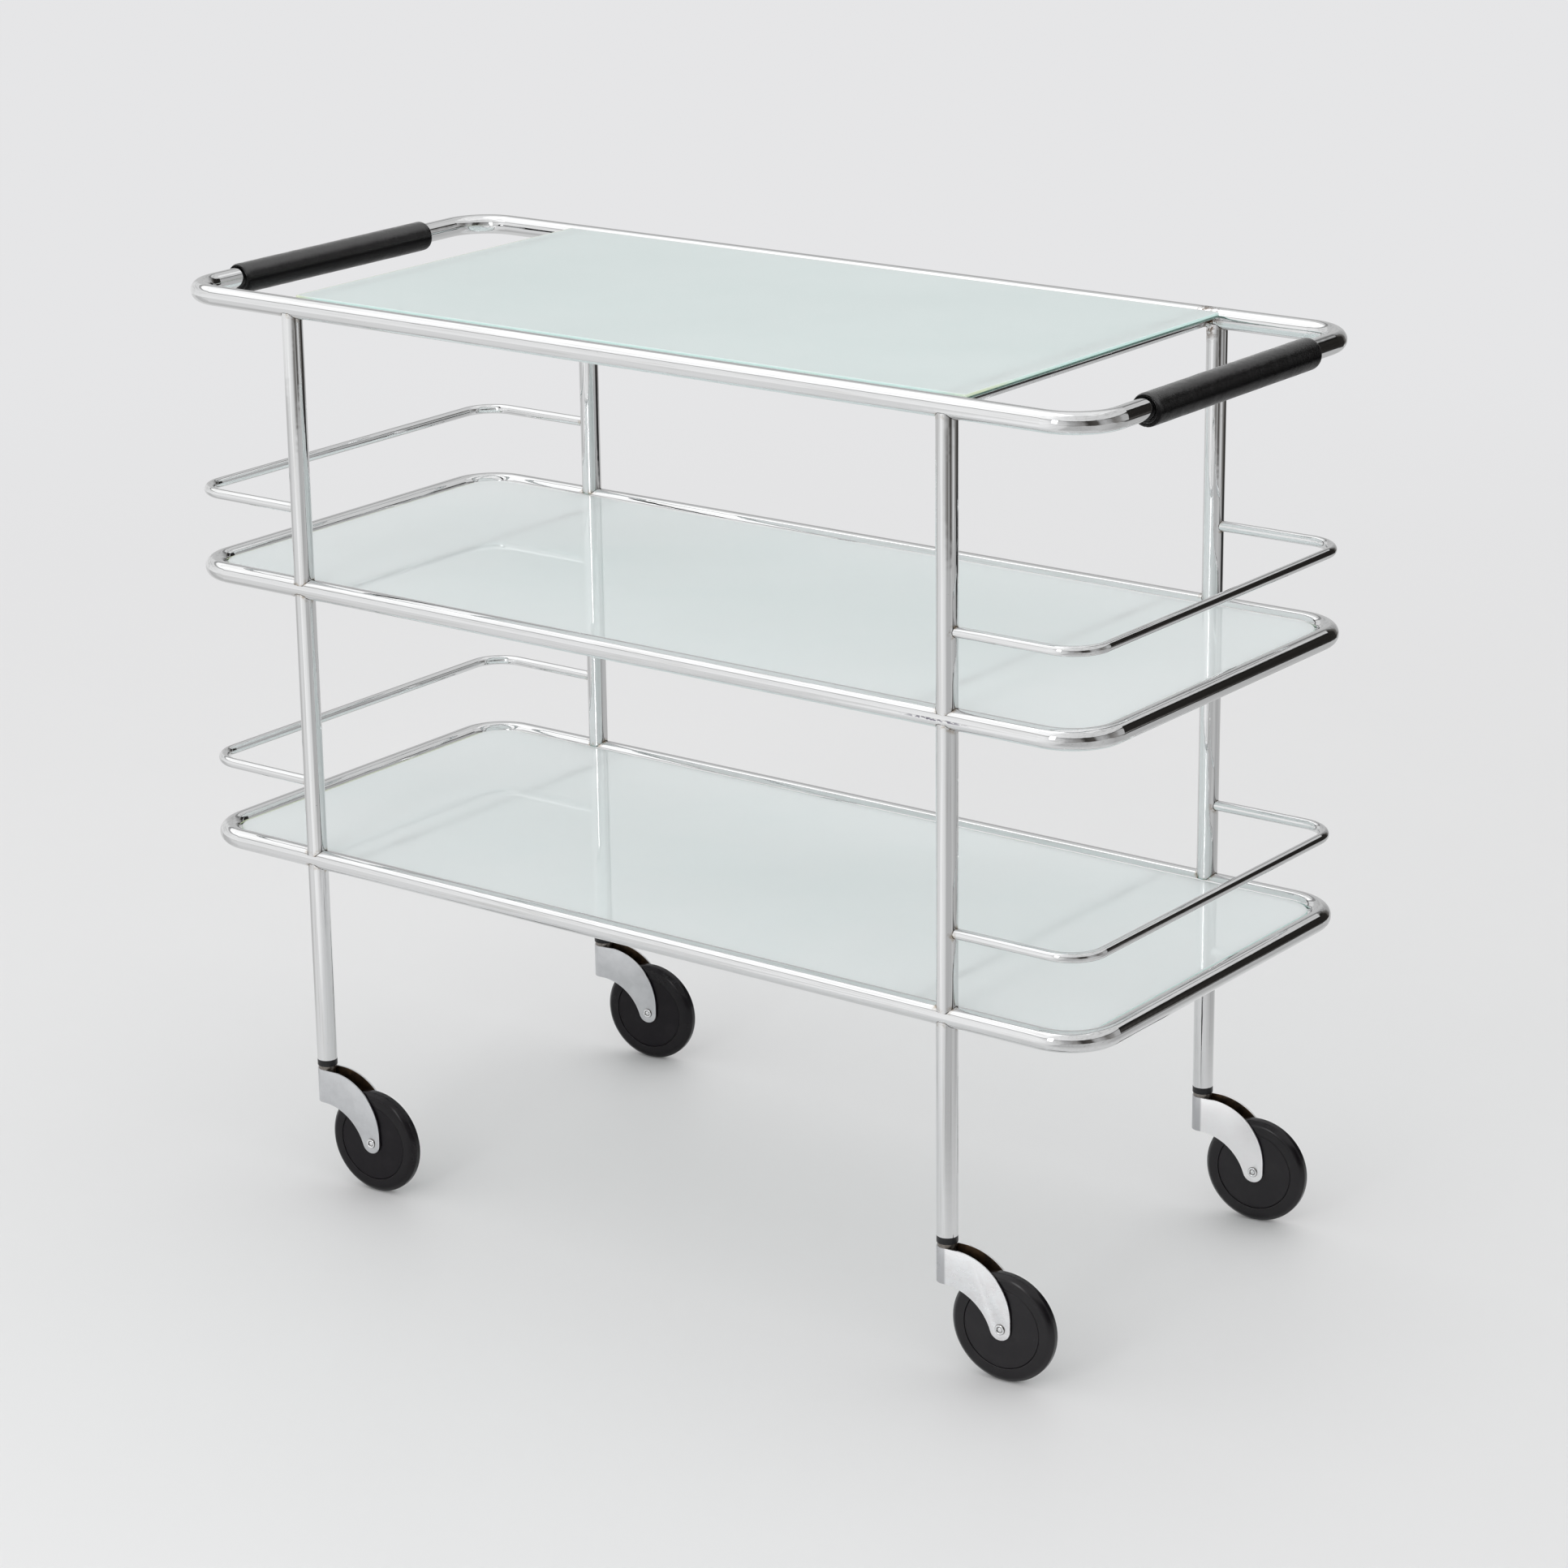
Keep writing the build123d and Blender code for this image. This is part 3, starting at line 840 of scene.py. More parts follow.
# %% A copy with eased edges
FORK_EASE = 0.00035
EASE_STEPS = 2
MERGE_GAP = 0.00001
FLAT = radians(0.5)
SHARP = radians(35)
SMOOTH = radians(40)


def eased_copy(node, name, width):
    copy = bpy.data.objects.new(name, nodes[node].data.copy())
    bpy.context.scene.collection.objects.link(copy)
    bpy.ops.object.select_all(action="DESELECT")
    copy.select_set(True)
    bpy.context.view_layer.objects.active = copy
    bpy.ops.mesh.customdata_custom_splitnormals_clear()
    bpy.ops.object.mode_set(mode="EDIT")
    bpy.ops.mesh.select_all(action="SELECT")
    bpy.ops.mesh.remove_doubles(threshold=MERGE_GAP)
    bpy.ops.mesh.dissolve_limited(angle_limit=FLAT)
    bpy.ops.mesh.normals_make_consistent(inside=False)
    bpy.ops.object.mode_set(mode="OBJECT")
    ease = copy.modifiers.new("ease", "BEVEL")
    ease.width = width
    ease.segments = EASE_STEPS
    ease.limit_method = "ANGLE"
    ease.angle_limit = SHARP
    bpy.ops.object.modifier_apply(modifier=ease.name)
    bpy.ops.object.shade_smooth_by_angle(angle=SMOOTH)
    return copy


print(f"edges sharper than {degrees(SHARP):.0f} degrees are eased by {mm(FORK_EASE)}")

# %% [markdown]
# ## Bright outside, oily and shaded inside
#
# The dark inside, partly old oil and partly painted shade, ends sharply at the
# sheet's edge, so it isn't blended: it is a second material slot, given to the
# faces that look inwards. They could be picked by hand in Edit Mode. Here a face
# looks inwards if its normal points back at the line from the stem to the axle.

# %% Make the forks
INWARD = -0.5


def darken_inside(fork, corner):
    """The faces that look inwards, at the wheel or the stem, get the second finish."""
    pivot = middle(f"caster_stem_{corner}").xy
    trail = trail_direction(corner).xy
    fork.data.materials.append(oil_and_shade_steel)
    for face in fork.data.polygons:
        offset = face.center.xy - pivot
        outward = offset - trail * max(0, offset.dot(trail))
        if face.normal.xy.dot(outward.normalized()) < INWARD:
            face.material_index = 1


fork_zinc = {
    "front_left": darker_zinc,
    "front_right": bright_zinc,
    "back_left": darker_zinc,
    "back_right": zinc_painted_highlight,
}
for c in corners:
    fork = eased_copy(f"caster_fork_{c}", f"fork_{c}", FORK_EASE)
    fork.material_slots[0].material = fork_zinc[c]
    darken_inside(fork, c)
    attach(fork, f"swivel_{c}")
    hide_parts(f"caster_fork_{c}")
    print(fork.name, len(fork.data.polygons), "faces")

# %% [markdown]
# ## Profiles for round pieces
#
# Round parts show every facet of a coarse mesh, because a highlight runs all the
# way round them. So the discs, the tyres and the rivets are turned afresh from a
# profile, as on a lathe. A profile is a list of points, and moulded corners are
# never sharp. A bevel on the finished piece could round them, but easing the
# profile gives each corner a width of its own.

# %% Ease and mirror a profile
EASE_POINTS = 5


def eased(points, ease):
    """A closed profile whose corners are rounded: one length in ease for each point."""
    rounded = []
    for i, (corner, width) in enumerate(zip(points, ease)):
        corner = Vector(corner)
        if width == 0:
            rounded.append(corner)
            continue
        start = corner + (Vector(points[i - 1]) - corner).normalized() * width
        end = corner + (Vector(points[(i + 1) % len(points)]) - corner).normalized() * width
        for step in range(EASE_POINTS + 1):
            t = step / EASE_POINTS
            rounded.append(start * (1 - t) ** 2 + corner * 2 * t * (1 - t) + end * t**2)
    return rounded


def mirrored(half):
    return half + [(radius, -along_axle) for radius, along_axle in reversed(half)]


print("an eased corner has", EASE_POINTS + 1, "points")

# %% [markdown]
# ## A lathe
#
# Spinning the profile about the axle would make the piece in one step, but leaves
# a seam to merge. Here a fine circle is extruded along the axle ring by ring, and
# each ring is scaled to the radius that the profile gives, so there is no seam
# along the piece. A closed profile ends on its first ring, and the two are merged.

# %% Turn a profile
TURNED_GAP = 0.000001


def active_mesh():
    return bpy.context.view_layer.objects.active


def turn_piece(name, corner, rings, sides, closed):
    """Rings are pairs of radius and distance along the axle. A closed profile ends where it starts."""
    centre = middle(f"caster_axle_{corner}")
    axis = axle_direction(corner)
    reach, level = rings[0]
    bpy.ops.object.select_all(action="DESELECT")
    bpy.ops.mesh.primitive_circle_add(
        vertices=sides,
        radius=reach,
        fill_type="NOTHING" if closed else "NGON",
        location=centre + axis * level,
        rotation=axis.to_track_quat("Z", "Y").to_euler(),
    )
    piece = active_mesh()
    piece.name = name
    piece.data.name = name
    bpy.ops.object.transform_apply(location=True, rotation=True, scale=True)
    bpy.ops.object.mode_set(mode="EDIT")
    bpy.ops.mesh.select_all(action="SELECT")
    for radius, along_axle in list(rings[1:]) + list(rings[:1] if closed else []):
        bpy.ops.mesh.extrude_region_move(
            TRANSFORM_OT_translate={"value": axis * (along_axle - level)}
        )
        scale = radius / reach
        bpy.ops.transform.resize(
            value=(scale, scale, scale), center_override=centre + axis * along_axle
        )
        reach, level = radius, along_axle
    bpy.ops.mesh.select_all(action="SELECT")
    bpy.ops.mesh.remove_doubles(threshold=TURNED_GAP)
    bpy.ops.mesh.normals_make_consistent(inside=False)
    bpy.ops.object.mode_set(mode="OBJECT")
    bpy.ops.object.shade_smooth_by_angle(angle=SMOOTH)
    return piece


print("lathe ready")

# %% [markdown]
# ## Sizes of the round solids
#
# What is turned has to fit where its solid was. A box gives no radius when an
# axle lies askew, so the vertices are measured from the axle itself.

# %% Measure the round solids
def turned_sizes(node, corner):
    """Least and greatest radius about the axle, and the reach along it."""
    axis = axle_direction(corner)
    centre = middle(f"caster_axle_{corner}")
    offsets = [vertex.co - centre for vertex in nodes[node].data.vertices]
    radii = [(offset - axis * offset.dot(axis)).length for offset in offsets]
    return min(radii), max(radii), max(offset.dot(axis) for offset in offsets)


for solid in ("tyre", "wheel", "caster_axle"):
    least, greatest, reach = turned_sizes(f"{solid}_front_left", "front_left")
    print(f"{solid}: radius {mm(least)} to {mm(greatest)}, half width {mm(reach)}")

# %% [markdown]
# ## Tyres
#
# The tyre is a black ring with wide rounded shoulders, and between it and the
# disc runs a fine dark groove. The groove could be painted on, but a real one
# keeps its dark line from every side. So the tyre's inner lip is cut back a
# little. The profile is written for one side and mirrored.

# %% Tyre profile
WHEEL_SIDES = 144
SHOULDER = 0.0040
SHOULDER_EASE = 0.0024
TREAD_EASE = 0.0012
GROOVE = 0.0005
LIP_EASE = 0.00025
DISC_INSET = 0.0004


def turn_tyre(corner):
    bore, tread, face = turned_sizes(f"tyre_{corner}", corner)
    half = [
        (bore, face - GROOVE - DISC_INSET),
        (bore + GROOVE, face),
        (tread - SHOULDER, face),
        (tread, face - SHOULDER),
    ]
    ease = [0, LIP_EASE, SHOULDER_EASE, TREAD_EASE]
    rings = eased(mirrored(half), ease + ease[::-1])
    return turn_piece(f"tyre_ring_{corner}", corner, rings, WHEEL_SIDES, True)


print(f"tyres with {mm(SHOULDER)} shoulders, {WHEEL_SIDES} sides")

# %% [markdown]
# ## Discs
#
# A wheel is a moulded disc with a hub that reaches almost to the fork's cheeks, so
# that the wheel can't slide far along its axle. Disc and hub could be two
# cylinders, but then there would be faces inside. One profile gives both in one
# skin. The disc's face lies a hair inside the tyre's.

# %% Disc profile
HUB_RADIUS = 0.008


def turn_disc(corner):
    bore, rim, hub_face = turned_sizes(f"wheel_{corner}", corner)
    disc_face = turned_sizes(f"tyre_{corner}", corner)[2] - DISC_INSET
    half = [
        (bore, hub_face),
        (HUB_RADIUS, hub_face),
        (HUB_RADIUS, disc_face),
        (rim - GROOVE, disc_face),
        (rim, disc_face - GROOVE),
    ]
    ease = [0, LIP_EASE, 0, LIP_EASE, 0]
    rings = eased(mirrored(half), ease + ease[::-1])
    return turn_piece(f"wheel_disc_{corner}", corner, rings, WHEEL_SIDES, True)


print(f"discs with a hub of {mm(HUB_RADIUS)} radius")

# %% [markdown]
# ## Rivets
#
# A rivet holds fork and wheel together. Its two heads are dished by the tool that
# closes them, with a low boss in the middle. A normal map could fake the dish, but
# the light catches its rim, so it is turned like the rest. It is drawn from the
# middle outwards and over the rounded rim, down to the shank.

# %% Rivet profile
RIVET_SIDES = 48
HEAD_HEIGHT = 0.0010
SHANK_RADIUS = 0.004
# The dish in the head, from the middle outwards: radius, and depth below the face
DISH = (
    (0.0004, 0.0005),
    (0.0012, 0.0006),
    (0.0017, 0.0009),
    (DISH_RADIUS, 0.0009),
    (0.0028, 0.0004),
    (0.0031, 0.0001),
    (0.0034, 0.0),
)
# The head's rounded rim: distance in from its radius, and depth below the face
HEAD_RIM = ((0.0008, 0.0), (0.0003, 0.0002), (0.0, 0.0006))


def turn_rivet(corner):
    head, face = turned_sizes(f"caster_axle_{corner}", corner)[1:]
    half = [(radius, face - depth) for radius, depth in DISH]
    half += [(head - inset, face - depth) for inset, depth in HEAD_RIM]
    half += [(head, face - HEAD_HEIGHT), (SHANK_RADIUS, face - HEAD_HEIGHT)]
    return turn_piece(f"rivet_{corner}", corner, mirrored(half), RIVET_SIDES, False)


print(len(DISH) + len(HEAD_RIM), "rings in a rivet's head")

# %% [markdown]
# ## Turn them at each corner
#
# The four casters stand at different angles, so each set is turned about its own
# axle. One set could be copied and rotated, but the pieces have to lie unturned at
# the origin, so turning each in its place is simpler. Disc and tyre ride on the
# wheel, and the rivet stays with the fork.

# %% Turn wheels, tyres and rivets
for c in corners:
    end = c.split("_")[1]
    turned = (
        (turn_disc(c), wheel_black[end], f"wheel_{c}", f"wheel_{c}", "wheel_plastic"),
        (turn_tyre(c), tyre_black[end], f"wheel_{c}", f"tyre_{c}", "tyre_rubber"),
        (turn_rivet(c), rivet_steel[c], f"swivel_{c}", f"caster_axle_{c}", "plain_steel"),
    )
    for piece, finish, body, node, slot in turned:
        piece.data.materials.append(finish)
        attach(piece, body)
        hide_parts(node)
        print(piece.name, len(piece.data.polygons), "faces")

# %% [markdown]
# ## Leather
#
# The grips are black cowhide. Its grain is small pebbles, which cells give better
# than plain noise, and wrapping it round has drawn fine creases into it. Hands
# have polished the upper half, and the underside has stayed matt: so a clear coat
# lies on the leather and fades out where the surface turns down.

# %% Leather
LEATHER = (0.0008, 0.0008, 0.0010, 1)
LEATHER_RUBBED = (0.0022, 0.0022, 0.0027, 1)
HAND_WEAR = (60, 0.42, 0.75)
WORN_SHINE = 0.06
PEBBLE_SCALE = 950
PEBBLE_EDGE = (0.0, 0.25)
PEBBLE_HEIGHT = 0.00003
PEBBLE_ROUGHNESS = (0.26, 0.19)
CREASE_SCALE = 520
CREASE_STRETCH = (0.30, 1, 0.30)
CREASE_HEIGHT = 0.00026
MATT_SHINE = 0.08
UNDERSIDE_POLISH = 0.08
POLISH_SLOPE = (-0.10, 0.45)


def pebbled(tree, where):
    """1 on the pebbles of the grain, 0 in the furrows between them."""
    cells = tree.nodes.new("ShaderNodeTexVoronoi")
    cells.feature = "DISTANCE_TO_EDGE"
    tree.links.new(where, cells.inputs["Vector"])
    cells.inputs["Scale"].default_value = PEBBLE_SCALE
    return fade(tree, cells.outputs["Distance"], *PEBBLE_EDGE)


def leather_finish(name):
    material, tree, shader = start_finish(name)
    where = place(tree)
    pebbles = pebbled(tree, where)
    rubbed = patches(tree, where, HAND_WEAR, detail=5)
    feed(tree, blend_colours(tree, rubbed, LEATHER, LEATHER_RUBBED), shader.inputs["Base Color"])
    dull = rescale(tree, pebbles, *PEBBLE_ROUGHNESS)
    dull = reckon(tree, "SUBTRACT", dull, reckon(tree, "MULTIPLY", rubbed, WORN_SHINE))
    feed(tree, dull, shader.inputs["Roughness"])
    creases = grain(tree, stretch(tree, where, CREASE_STRETCH), CREASE_SCALE, roughness=0.6)
    surface = bump(tree, pebbles, PEBBLE_HEIGHT, normal=bump(tree, creases, CREASE_HEIGHT))
    feed(tree, surface, shader.inputs["Normal"])
    shader.inputs["Specular IOR Level"].default_value = MATT_SHINE
    polish = fade(tree, facing_up(tree), *POLISH_SLOPE)
    feed(tree, rescale(tree, polish, UNDERSIDE_POLISH, 1.0), shader.inputs["Coat Weight"])
    feed(tree, surface, shader.inputs["Coat Normal"])
    shader.inputs["Coat Roughness"].default_value = 0.13
    shader.inputs["Coat IOR"].default_value = 1.7
    return material


black_leather = leather_finish("black_leather")
list_finishes(black_leather)

# %% [markdown]
# ## Thread
#
# The seam is sewn with black thread, twisted from finer strands. The strands could
# be modelled, but a stitch is only a few millimetres long, so noise that is
# squeezed along the stitch gives enough of the twist.

# %% Thread
THREAD = (0.012, 0.012, 0.013, 1)
THREAD_WORN = (0.035, 0.034, 0.034, 1)
TWIST_STRETCH = (4, 1, 1)
TWIST_SCALE = 2500
TWIST_HEIGHT = 0.00010


def thread_finish(name):
    material, tree, shader = start_finish(name)
    twist = grain(tree, stretch(tree, place(tree), TWIST_STRETCH), TWIST_SCALE, detail=2)
    feed(tree, blend_colours(tree, twist, THREAD, THREAD_WORN), shader.inputs["Base Color"])
    feed(tree, bump(tree, twist, TWIST_HEIGHT), shader.inputs["Normal"])
    shader.inputs["Roughness"].default_value = 0.6
    return material


black_thread = thread_finish("black_thread")
list_finishes(black_thread)

# %% [markdown]
# ## Leather grips
#
# A strip of leather is wrapped over a firm sleeve on the top hoop's end runs. A
# plain cylinder with two end rings would look the same from afar, but the wrap is
# to be uneven, and only rings all along it can follow that. So a circle is
# extruded along the tube in many short steps. Both its ends stay open for now.

# %% Wrap a sleeve
GRIP_SIDES = 96
GRIP_RINGS = 86


def wrap_sleeve(name, centre, radius, straight):
    """An open tube along Y, in rings of even length. Returns it and that length."""
    bpy.ops.object.select_all(action="DESELECT")
    bpy.ops.mesh.primitive_circle_add(
        vertices=GRIP_SIDES, radius=radius, location=centre, rotation=(pi / 2, 0, 0)
    )
    sleeve = active_mesh()
    sleeve.name = name
    sleeve.data.name = name
    bpy.ops.object.transform_apply(location=True, rotation=True, scale=True)
    bpy.ops.object.mode_set(mode="EDIT")
    bpy.ops.mesh.select_all(action="SELECT")
    bpy.ops.transform.translate(value=(0, -straight, 0))
    step = 2 * straight / GRIP_RINGS
    for _ in range(GRIP_RINGS):
        bpy.ops.mesh.extrude_region_move(TRANSFORM_OT_translate={"value": (0, step, 0)})
    bpy.ops.object.mode_set(mode="OBJECT")
    return sleeve, step


print("a sleeve has", GRIP_RINGS, "rings of", GRIP_SIDES, "sides")

# %% [markdown]
# ## Rolled ends
#
# At its ends the leather is rolled over, and the sleeve's layers show as rings
# inside the roll. A bevel would miss those rings, so the open edge is stepped in
# one ring at a time. The last rings of both ends are then bridged through the
# bore, which closes the sleeve round the tube.

# %% Roll the ends and close the bore
# End rings from the outside in: radius lost from the grip, how far back from its end,
# and how far up, because the tube sits above the middle of the padding
END_RINGS = (
    (0.00020, 0.0020, 0.0),
    (0.00060, 0.0010, 0.0),
    (0.00110, 0.0004, 0.0),
    (0.00150, 0.0002, 0.0),
    (0.00180, 0.0004, 0.0),
    (0.00195, 0.0011, 0.00005),
    (0.00220, 0.0012, 0.0001),
    (0.00240, 0.0006, 0.0002),
    (0.00280, 0.0004, 0.0005),
    (0.00330, 0.0005, 0.0009),
    (0.00350, 0.0012, 0.0010),
    (0.00370, 0.0013, 0.0011),
    (0.00390, 0.0007, 0.0012),
    (0.00430, 0.0006, 0.0014),
    (0.00470, 0.0010, 0.0015),
    (0.00478, 0.0022, 0.0015),
)


def select_vertices(test):
    mesh = active_mesh().data
    bpy.ops.object.mode_set(mode="EDIT")
    bpy.ops.mesh.select_mode(type="VERT")
    bpy.ops.mesh.select_all(action="DESELECT")
    bpy.ops.object.mode_set(mode="OBJECT")
    for vertex in mesh.vertices:
        vertex.select = test(vertex.co)
    bpy.ops.object.mode_set(mode="EDIT")


def roll_end(side, centre, radius, half, straight, step):
    """Step the open ring of one side (-1 or 1) in along the end rings."""
    level, reach, height = centre.y + side * straight, radius, centre.z
    select_vertices(lambda co: abs(co.y - level) < step / 4)
    for lost, back, up in END_RINGS:
        target = centre.y + side * (half - back)
        shrink = (radius - lost) / reach
        rise = centre.z + up - height
        bpy.ops.mesh.extrude_region_move(
            TRANSFORM_OT_translate={"value": (0, target - level, rise)}
        )
        level, reach, height = target, radius - lost, centre.z + up
        bpy.ops.transform.resize(
            value=(shrink, 1, shrink), center_override=(centre.x, level, height)
        )
    bpy.ops.object.mode_set(mode="OBJECT")


def close_bore():
    bpy.ops.object.mode_set(mode="EDIT")
    bpy.ops.mesh.select_mode(type="EDGE")
    bpy.ops.mesh.select_all(action="DESELECT")
    bpy.ops.mesh.select_non_manifold(use_boundary=True)
    bpy.ops.mesh.bridge_edge_loops()
    bpy.ops.object.mode_set(mode="OBJECT")


print(len(END_RINGS), "rings in a rolled end")

# %% [markdown]
# ## Seam and unevenness
#
# What still tells the grip from a machined tube is the seam, pressed in along the
# underside, and a hand-made unevenness. A bump could show both, but would leave
# the outline ruled. So the lowest row of vertices is moved up, and a Displace
# modifier with a cloud texture moves all of them a little.

# %% Press the seam and make the grips
SEAM_DEPTH = 0.0005
SEAM_WIDTH = 0.0002
UNEVEN_SCALE = 0.012
UNEVEN_DEPTH = 0.00035
UNEVEN_LEVEL = 0.9


def press_seam(centre, radius):
    lowest_quarter = centre.z - radius + radius / 4
    select_vertices(lambda co: abs(co.x - centre.x) < SEAM_WIDTH and co.z < lowest_quarter)
    bpy.ops.transform.translate(value=(0, 0, SEAM_DEPTH))
    bpy.ops.mesh.select_all(action="SELECT")
    bpy.ops.mesh.normals_make_consistent(inside=False)
    bpy.ops.object.mode_set(mode="OBJECT")


def make_uneven(grip):
    clouds = bpy.data.textures.new(f"{grip.name}_unevenness", "CLOUDS")
    clouds.noise_scale = UNEVEN_SCALE
    uneven = grip.modifiers.new("uneven", "DISPLACE")
    uneven.texture = clouds
    uneven.texture_coords = "GLOBAL"
    uneven.strength = UNEVEN_DEPTH
    uneven.mid_level = UNEVEN_LEVEL
    bpy.ops.object.modifier_apply(modifier=uneven.name)
    bpy.ops.object.shade_smooth()


def make_grip(name, solid):
    centre = middle(solid)
    half = size(solid).y / 2
    radius = size(solid).z / 2
    straight = half - END_RINGS[0][1] * 2
    grip, step = wrap_sleeve(name, centre, radius, straight)
    for side in (-1, 1):
        roll_end(side, centre, radius, half, straight, step)
    close_bore()
    press_seam(centre, radius)
    make_uneven(grip)
    grip.data.materials.append(black_leather)
    return grip


for end in ends:
    grip = make_grip(f"leather_grip_{end}", f"grip_leather_{end}")
    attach(grip, "frame")
    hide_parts(f"grip_leather_{end}", f"grip_core_{end}")
    print(grip.name, len(grip.data.polygons), "faces")

# %% [markdown]
# ## Stitches
#
# The seam is closed by short slanted stitches. A thread could be swept along the
# whole seam, but only its upper loops show. So one stitch is modelled as a
# stretched ball with its ends sunk in the leather, and an Array modifier repeats
# it along the grip.

# %% Sew the grips
STITCH_PITCH = 0.0045
STITCH_LENGTH = 0.0034
STITCH_THICKNESS = 0.0007
STITCH_SLANT = radians(24)
SEAM_MARGIN = 4 * STITCH_PITCH


def sew_grip(name, solid):
    centre = middle(solid)
    length = size(solid).y
    underside = centre.z - size(solid).z / 2 + SEAM_DEPTH
    count = int((length - SEAM_MARGIN) / STITCH_PITCH)
    start = centre.y - (count - 1) * STITCH_PITCH / 2
    bpy.ops.object.select_all(action="DESELECT")
    bpy.ops.mesh.primitive_uv_sphere_add(segments=10, ring_count=6, radius=0.5)
    stitches = active_mesh()
    stitches.name = name
    stitches.data.name = name
    stitches.scale = (STITCH_LENGTH, STITCH_THICKNESS, STITCH_THICKNESS)
    stitches.rotation_euler = (0, 0, STITCH_SLANT)
    stitches.location = (centre.x, start, underside)
    bpy.ops.object.transform_apply(location=True, rotation=True, scale=True)
    row = stitches.modifiers.new("row", "ARRAY")
    row.count = count
    row.use_relative_offset = False
    row.use_constant_offset = True
    row.constant_offset_displace = (0, STITCH_PITCH, 0)
    bpy.ops.object.modifier_apply(modifier=row.name)
    bpy.ops.object.shade_smooth()
    stitches.data.materials.append(black_thread)
    return stitches, count


for end in ends:
    stitches, count = sew_grip(f"grip_stitches_{end}", f"grip_leather_{end}")
    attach(stitches, "frame")
    print(stitches.name, count, "stitches")

# %% [markdown]
# ## The studio's brightness
#
# Chrome mirrors all that stands round it, so it needs a room with light and dark
# in it. A modelled room would take long to build and to render. Instead the
# brightness is written down by compass direction and laid out with a radial
# gradient and a colour ramp. Shade is a little warm.

# %% Brightness by compass
SHADE = (0, 0, 0, 1)
WARM_BELOW = 0.4
WARMTH = 0.08


def by_compass(tree, vector, stops):
    """Brightness by direction in plan: each stop is degrees from +X towards +Y, and a grey."""
    radial = tree.nodes.new("ShaderNodeTexGradient")
    radial.gradient_type = "RADIAL"
    tree.links.new(vector, radial.inputs["Vector"])
    ramp = tree.nodes.new("ShaderNodeValToRGB")
    tree.links.new(radial.outputs["Fac"], ramp.inputs["Fac"])
    ramp.color_ramp.interpolation = "EASE"
    points = ramp.color_ramp.elements
    for bearing, grey in stops:
        point = points.new((bearing / 360 + 0.5) % 1)
        tint = WARMTH * max(0, 1 - grey / WARM_BELOW)
        point.color = (grey * (1 + tint), grey, grey * (1 - tint), 1)
    points.remove(points[0])
    points.remove(points[len(points) - 1])
    return ramp.outputs["Color"]


print("greys under", WARM_BELOW, "are tinted")

# %% [markdown]
# ## Rings of the studio
#
# In the low curve of a tube one sees the floor out to the walls. Close by it is
# even, further off dark things stand about to the right, and beyond that comes
# the foot of the walls. These could be boxes on the floor. As rings with their
# own brightness round the compass, they are quicker to adjust and cast no shadow.

# %% Rings of the studio
STUDIO_NEAR = (
    (0, 0.58), (10, 0.52), (20, 0.47), (35, 0.50), (60, 0.55), (95, 0.55), (120, 0.62),
    (150, 0.72), (170, 0.72), (188, 0.57), (198, 0.60), (210, 0.80), (232, 0.84), (244, 0.82),
    (251, 1.06), (263, 1.02), (280, 0.90), (293, 0.80), (303, 0.53), (336, 0.53), (348, 0.62),
)
# How much of the shade a direction gets beyond the near floor
STUDIO_SIDE = ((0, 0), (33, 0), (38, 0.94), (74, 0.94), (82, 0))
STUDIO_FAR = (
    (5, 0.75), (12, 0.70), (20, 0.35), (28, 0.30), (34, 0.12), (40, 0.14), (50, 0.05),
    (54, 0.03), (74, 0.03), (88, 0.40), (100, 0.50), (120, 0.60), (150, 0.72), (165, 0.72),
    (188, 0.60), (208, 0.70), (224, 0.82), (238, 0.85), (250, 1.1), (264, 0.92), (276, 0.78),
    (288, 0.58), (299, 0.28), (310, 0.19), (316, 0.28), (323, 0.50), (330, 0.14), (342, 0.09),
    (350, 0.35), (357, 0.55),
)
STUDIO_WALLS = (
    (0, 0.50), (8, 0.40), (18, 0.20), (30, 0.30), (40, 0.50), (46, 0.52), (50, 0.08), (53, 0.02),
    (76, 0.025), (84, 0.12), (95, 0.42), (112, 0.60), (127, 0.60), (138, 0.62), (150, 0.85),
    (180, 0.92), (230, 1.0), (250, 1.1), (268, 0.90), (285, 0.75), (300, 0.45), (318, 0.30),
    (330, 0.05), (345, 0.08), (353, 0.45),
)
# Distances in metres at which one ring starts to give way to the next, and has done so
TO_SIDE = (2.25, 2.6)
TO_FAR = (3.0, 3.35)
TO_WALLS = (3.7, 4.1)


def studio_rings(tree, where, distance):
    side = reckon(
        tree, "MULTIPLY", fade(tree, distance, *TO_SIDE), by_compass(tree, where, STUDIO_SIDE)
    )
    rings = blend_colours(tree, side, by_compass(tree, where, STUDIO_NEAR), SHADE)
    for reach, stops in ((TO_FAR, STUDIO_FAR), (TO_WALLS, STUDIO_WALLS)):
        rings = blend_colours(
            tree, fade(tree, distance, *reach), rings, by_compass(tree, where, stops)
        )
    return rings


print("rings to", TO_WALLS[1], "m")

# %% [markdown]
# ## Floor
#
# The cart stands on a plain pale floor. Near the cart it is an ordinary matt
# surface that takes its shadow. Far off, where no lamp reaches, it gives way to
# the background's own pale grey, so no horizon shows. A curved backdrop would do
# that too, but chrome would mirror its bend. What mirrors see of the floor, away
# from the cart, are the studio's rings.

# %% Lay the floor
BACKGROUND = (0.790, 0.790, 0.800, 1)
FLOOR = (0.815, 0.815, 0.815, 1)
FLOOR_WORN = (0.798, 0.798, 0.798, 1)
FLOOR_WEAR_SCALE = 3
FLOOR_SIZE = 80
TO_BACKGROUND = (1.2, 4.0)
TO_STUDIO = (0.55, 1.0)


